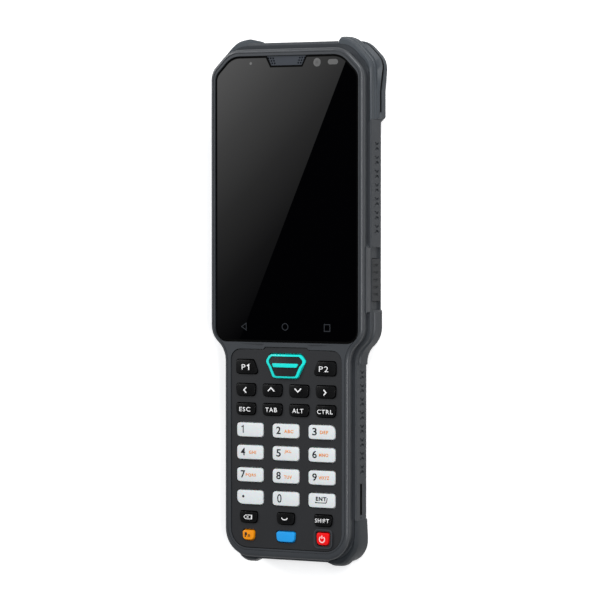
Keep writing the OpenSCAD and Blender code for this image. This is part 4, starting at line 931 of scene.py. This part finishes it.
# How far the strokes of the words are thinned or thickened
FINE, BOLD = -0.004, 0.008
for key, text, x, y, width, height in (
        ("p1", "P", -1.35, -0.25, 1.95, 2.40), ("p2", "P2", -0.40, -0.25, 4.70, 2.40),
        ("esc", "ESC", -0.35, -0.20, 5.60, 1.90), ("tab", "TAB", -0.35, -0.10, 5.90, 1.90),
        ("alt", "ALT", -0.30, -0.20, 5.60, 1.90), ("ctrl", "CTRL", -0.25, -0.25, 7.80, 1.90),
        ("shift", "SHIFT", -0.30, -0.05, 7.00, 1.75)):
    words = lettered(text, x, y, width, height, FINE if key in ("p1", "p2") else BOLD)
    legend(words, "legend_" + key, "key_" + key, white_ink)
legend(drawn(((((0.45, 0.30), (1.30, 0.90), (1.30, -1.45)), 0.52, False),)),
       "digit_p1", "key_p1", white_ink)

for key, path in (
        ("left", ((0.45, 1.05), (-0.80, -0.15), (0.45, -1.35))),
        ("up", ((-2.00, -0.35), (-0.38, 1.15), (1.25, -0.35))),
        ("down", ((-1.90, 1.15), (-0.28, -0.35), (1.35, 1.15))),
        ("right", ((-0.85, 0.95), (0.40, -0.25), (-0.85, -1.45)))):
    legend(drawn(((path, 0.50, False),)), "legend_" + key, "key_" + key, white_ink)

legend(drawn(((((-4.10, 1.05), (-3.20, 1.65), (-3.20, -1.45)), 0.50, False),)),
       "legend_1", "key_1", dark_ink)
for digit in "23456789":
    legend(lettered(digit, -3.35, 0.2, 2.4, 3.3, 0.018),
           "legend_" + digit, "key_" + digit, dark_ink)
legend(lettered("0", -2.9, 0.1, 2.3, 3.8, 0.006), "legend_0", "key_0", dark_ink)
for digit, text, x, y, width in (
        ("2", "ABC", 1.85, -0.15, 4.5), ("3", "DEF", 1.45, 0.00, 4.0), ("4", "GHI", 1.55, 0.00, 3.5),
        ("5", "JKL", 1.45, 0.78, 3.5), ("6", "MNO", 1.25, 0.00, 4.6), ("7", "PQRS", 0.70, -0.18, 5.2),
        ("8", "TUV", 1.45, -0.35, 3.9), ("9", "WXYZ", 1.35, 0.00, 5.2)):
    legend(lettered(text, x, y, width, 1.5, 0.03), "letters_" + digit, "key_" + digit, orange_ink)

# The point is a dot, and the enter key is underlined by its return arrow
legend(drawn(((arc(-3.2, 0.3, 0.29, 0, 345, 23), 0.56, True),)), "legend_dot", "key_dot", dark_ink)
legend(lettered("ENT", 0.0, 0.72, 5.3, 1.8, 0.045), "legend_enter", "key_enter", dark_ink)
legend(drawn(((((3.05, 1.2), (2.65, -0.65), (2.3, -0.98), (0.0, -0.98), (-2.6, -0.98)), 0.34, False),
              (((-3.05, -0.88), (-2.3, -0.88)), 0.52, False))), "arrow_enter", "key_enter", dark_ink)

# Backspace is a tag that points left, with a cross in it and a filled end
legend(drawn(((((-2.2, 0.0), (-1.3, 0.85), (1.9, 0.85), (1.9, -0.85), (-1.3, -0.85)), 0.25, True),
              (((1.68, -0.85), (1.68, 0.85)), 0.45, False),
              (((-0.7, -0.42), (0.3, 0.42)), 0.2, False),
              (((-0.7, 0.42), (0.3, -0.42)), 0.2, False))),
       "legend_backspace", "key_backspace", white_ink)
legend(drawn(((((-1.8, 0.45), (-1.35, -0.15), (-0.9, -0.4), (0.3, -0.4), (0.75, -0.15), (1.2, 0.45)),
               0.38, False),)), "legend_space", "key_space", white_ink)
legend(lettered("F", -1.15, 0.1, 1.2, 2.1, 0.09), "legend_function", "key_function", brown_ink)
legend(lettered("n", 0.45, -0.3, 1.15, 1.2, 0.03), "letters_function", "key_function", brown_ink)
legend(drawn(((arc(-0.25, -0.2, 1.3, 125, 415, 28), 0.45, False),
              (((-0.25, 0.15), (-0.25, 1.45)), 0.45, False))), "legend_power", "key_power", rose_ink)

# --------------------------------------------------------------- battery and its door
# The battery is a hard pack in shrink wrap, under a door that is ribbed on its inside. The door hooks
# in at its upper end, swings and snaps shut at its lower end.

# Shrink wrap is a taut satin film, with faint wrinkles across the pack
wrap, tree, output = new_material("PET shrink wrap, black")
place = add_node(tree, "TexCoord").outputs["Object"]
drawn_out = add_node(tree, "Mapping", {"Vector": place, "Scale": (1.0, 0.25, 1.0)})
wrinkles = add_node(tree, "TexNoise", {"Vector": drawn_out.outputs[0], "Scale": 1 / (3.0 * MM),
                                       "Detail": 3.0})
relief = add_node(tree, "Bump", {"Height": wrinkles.outputs["Fac"], "Strength": 0.25,
                                 "Distance": 0.1 * MM})
surface = add_node(tree, "BsdfPrincipled", {"Base Color": linear("#1d1e21"), "Roughness": 0.3,
                                            "IOR": 1.55, "Normal": relief.outputs[0]})
tree.links.new(surface.outputs[0], output.inputs["Surface"])
dress(copy_of("battery_pack", bevel=0.4), wrap)
dress(copy_of("battery_door"), housing_plastic)
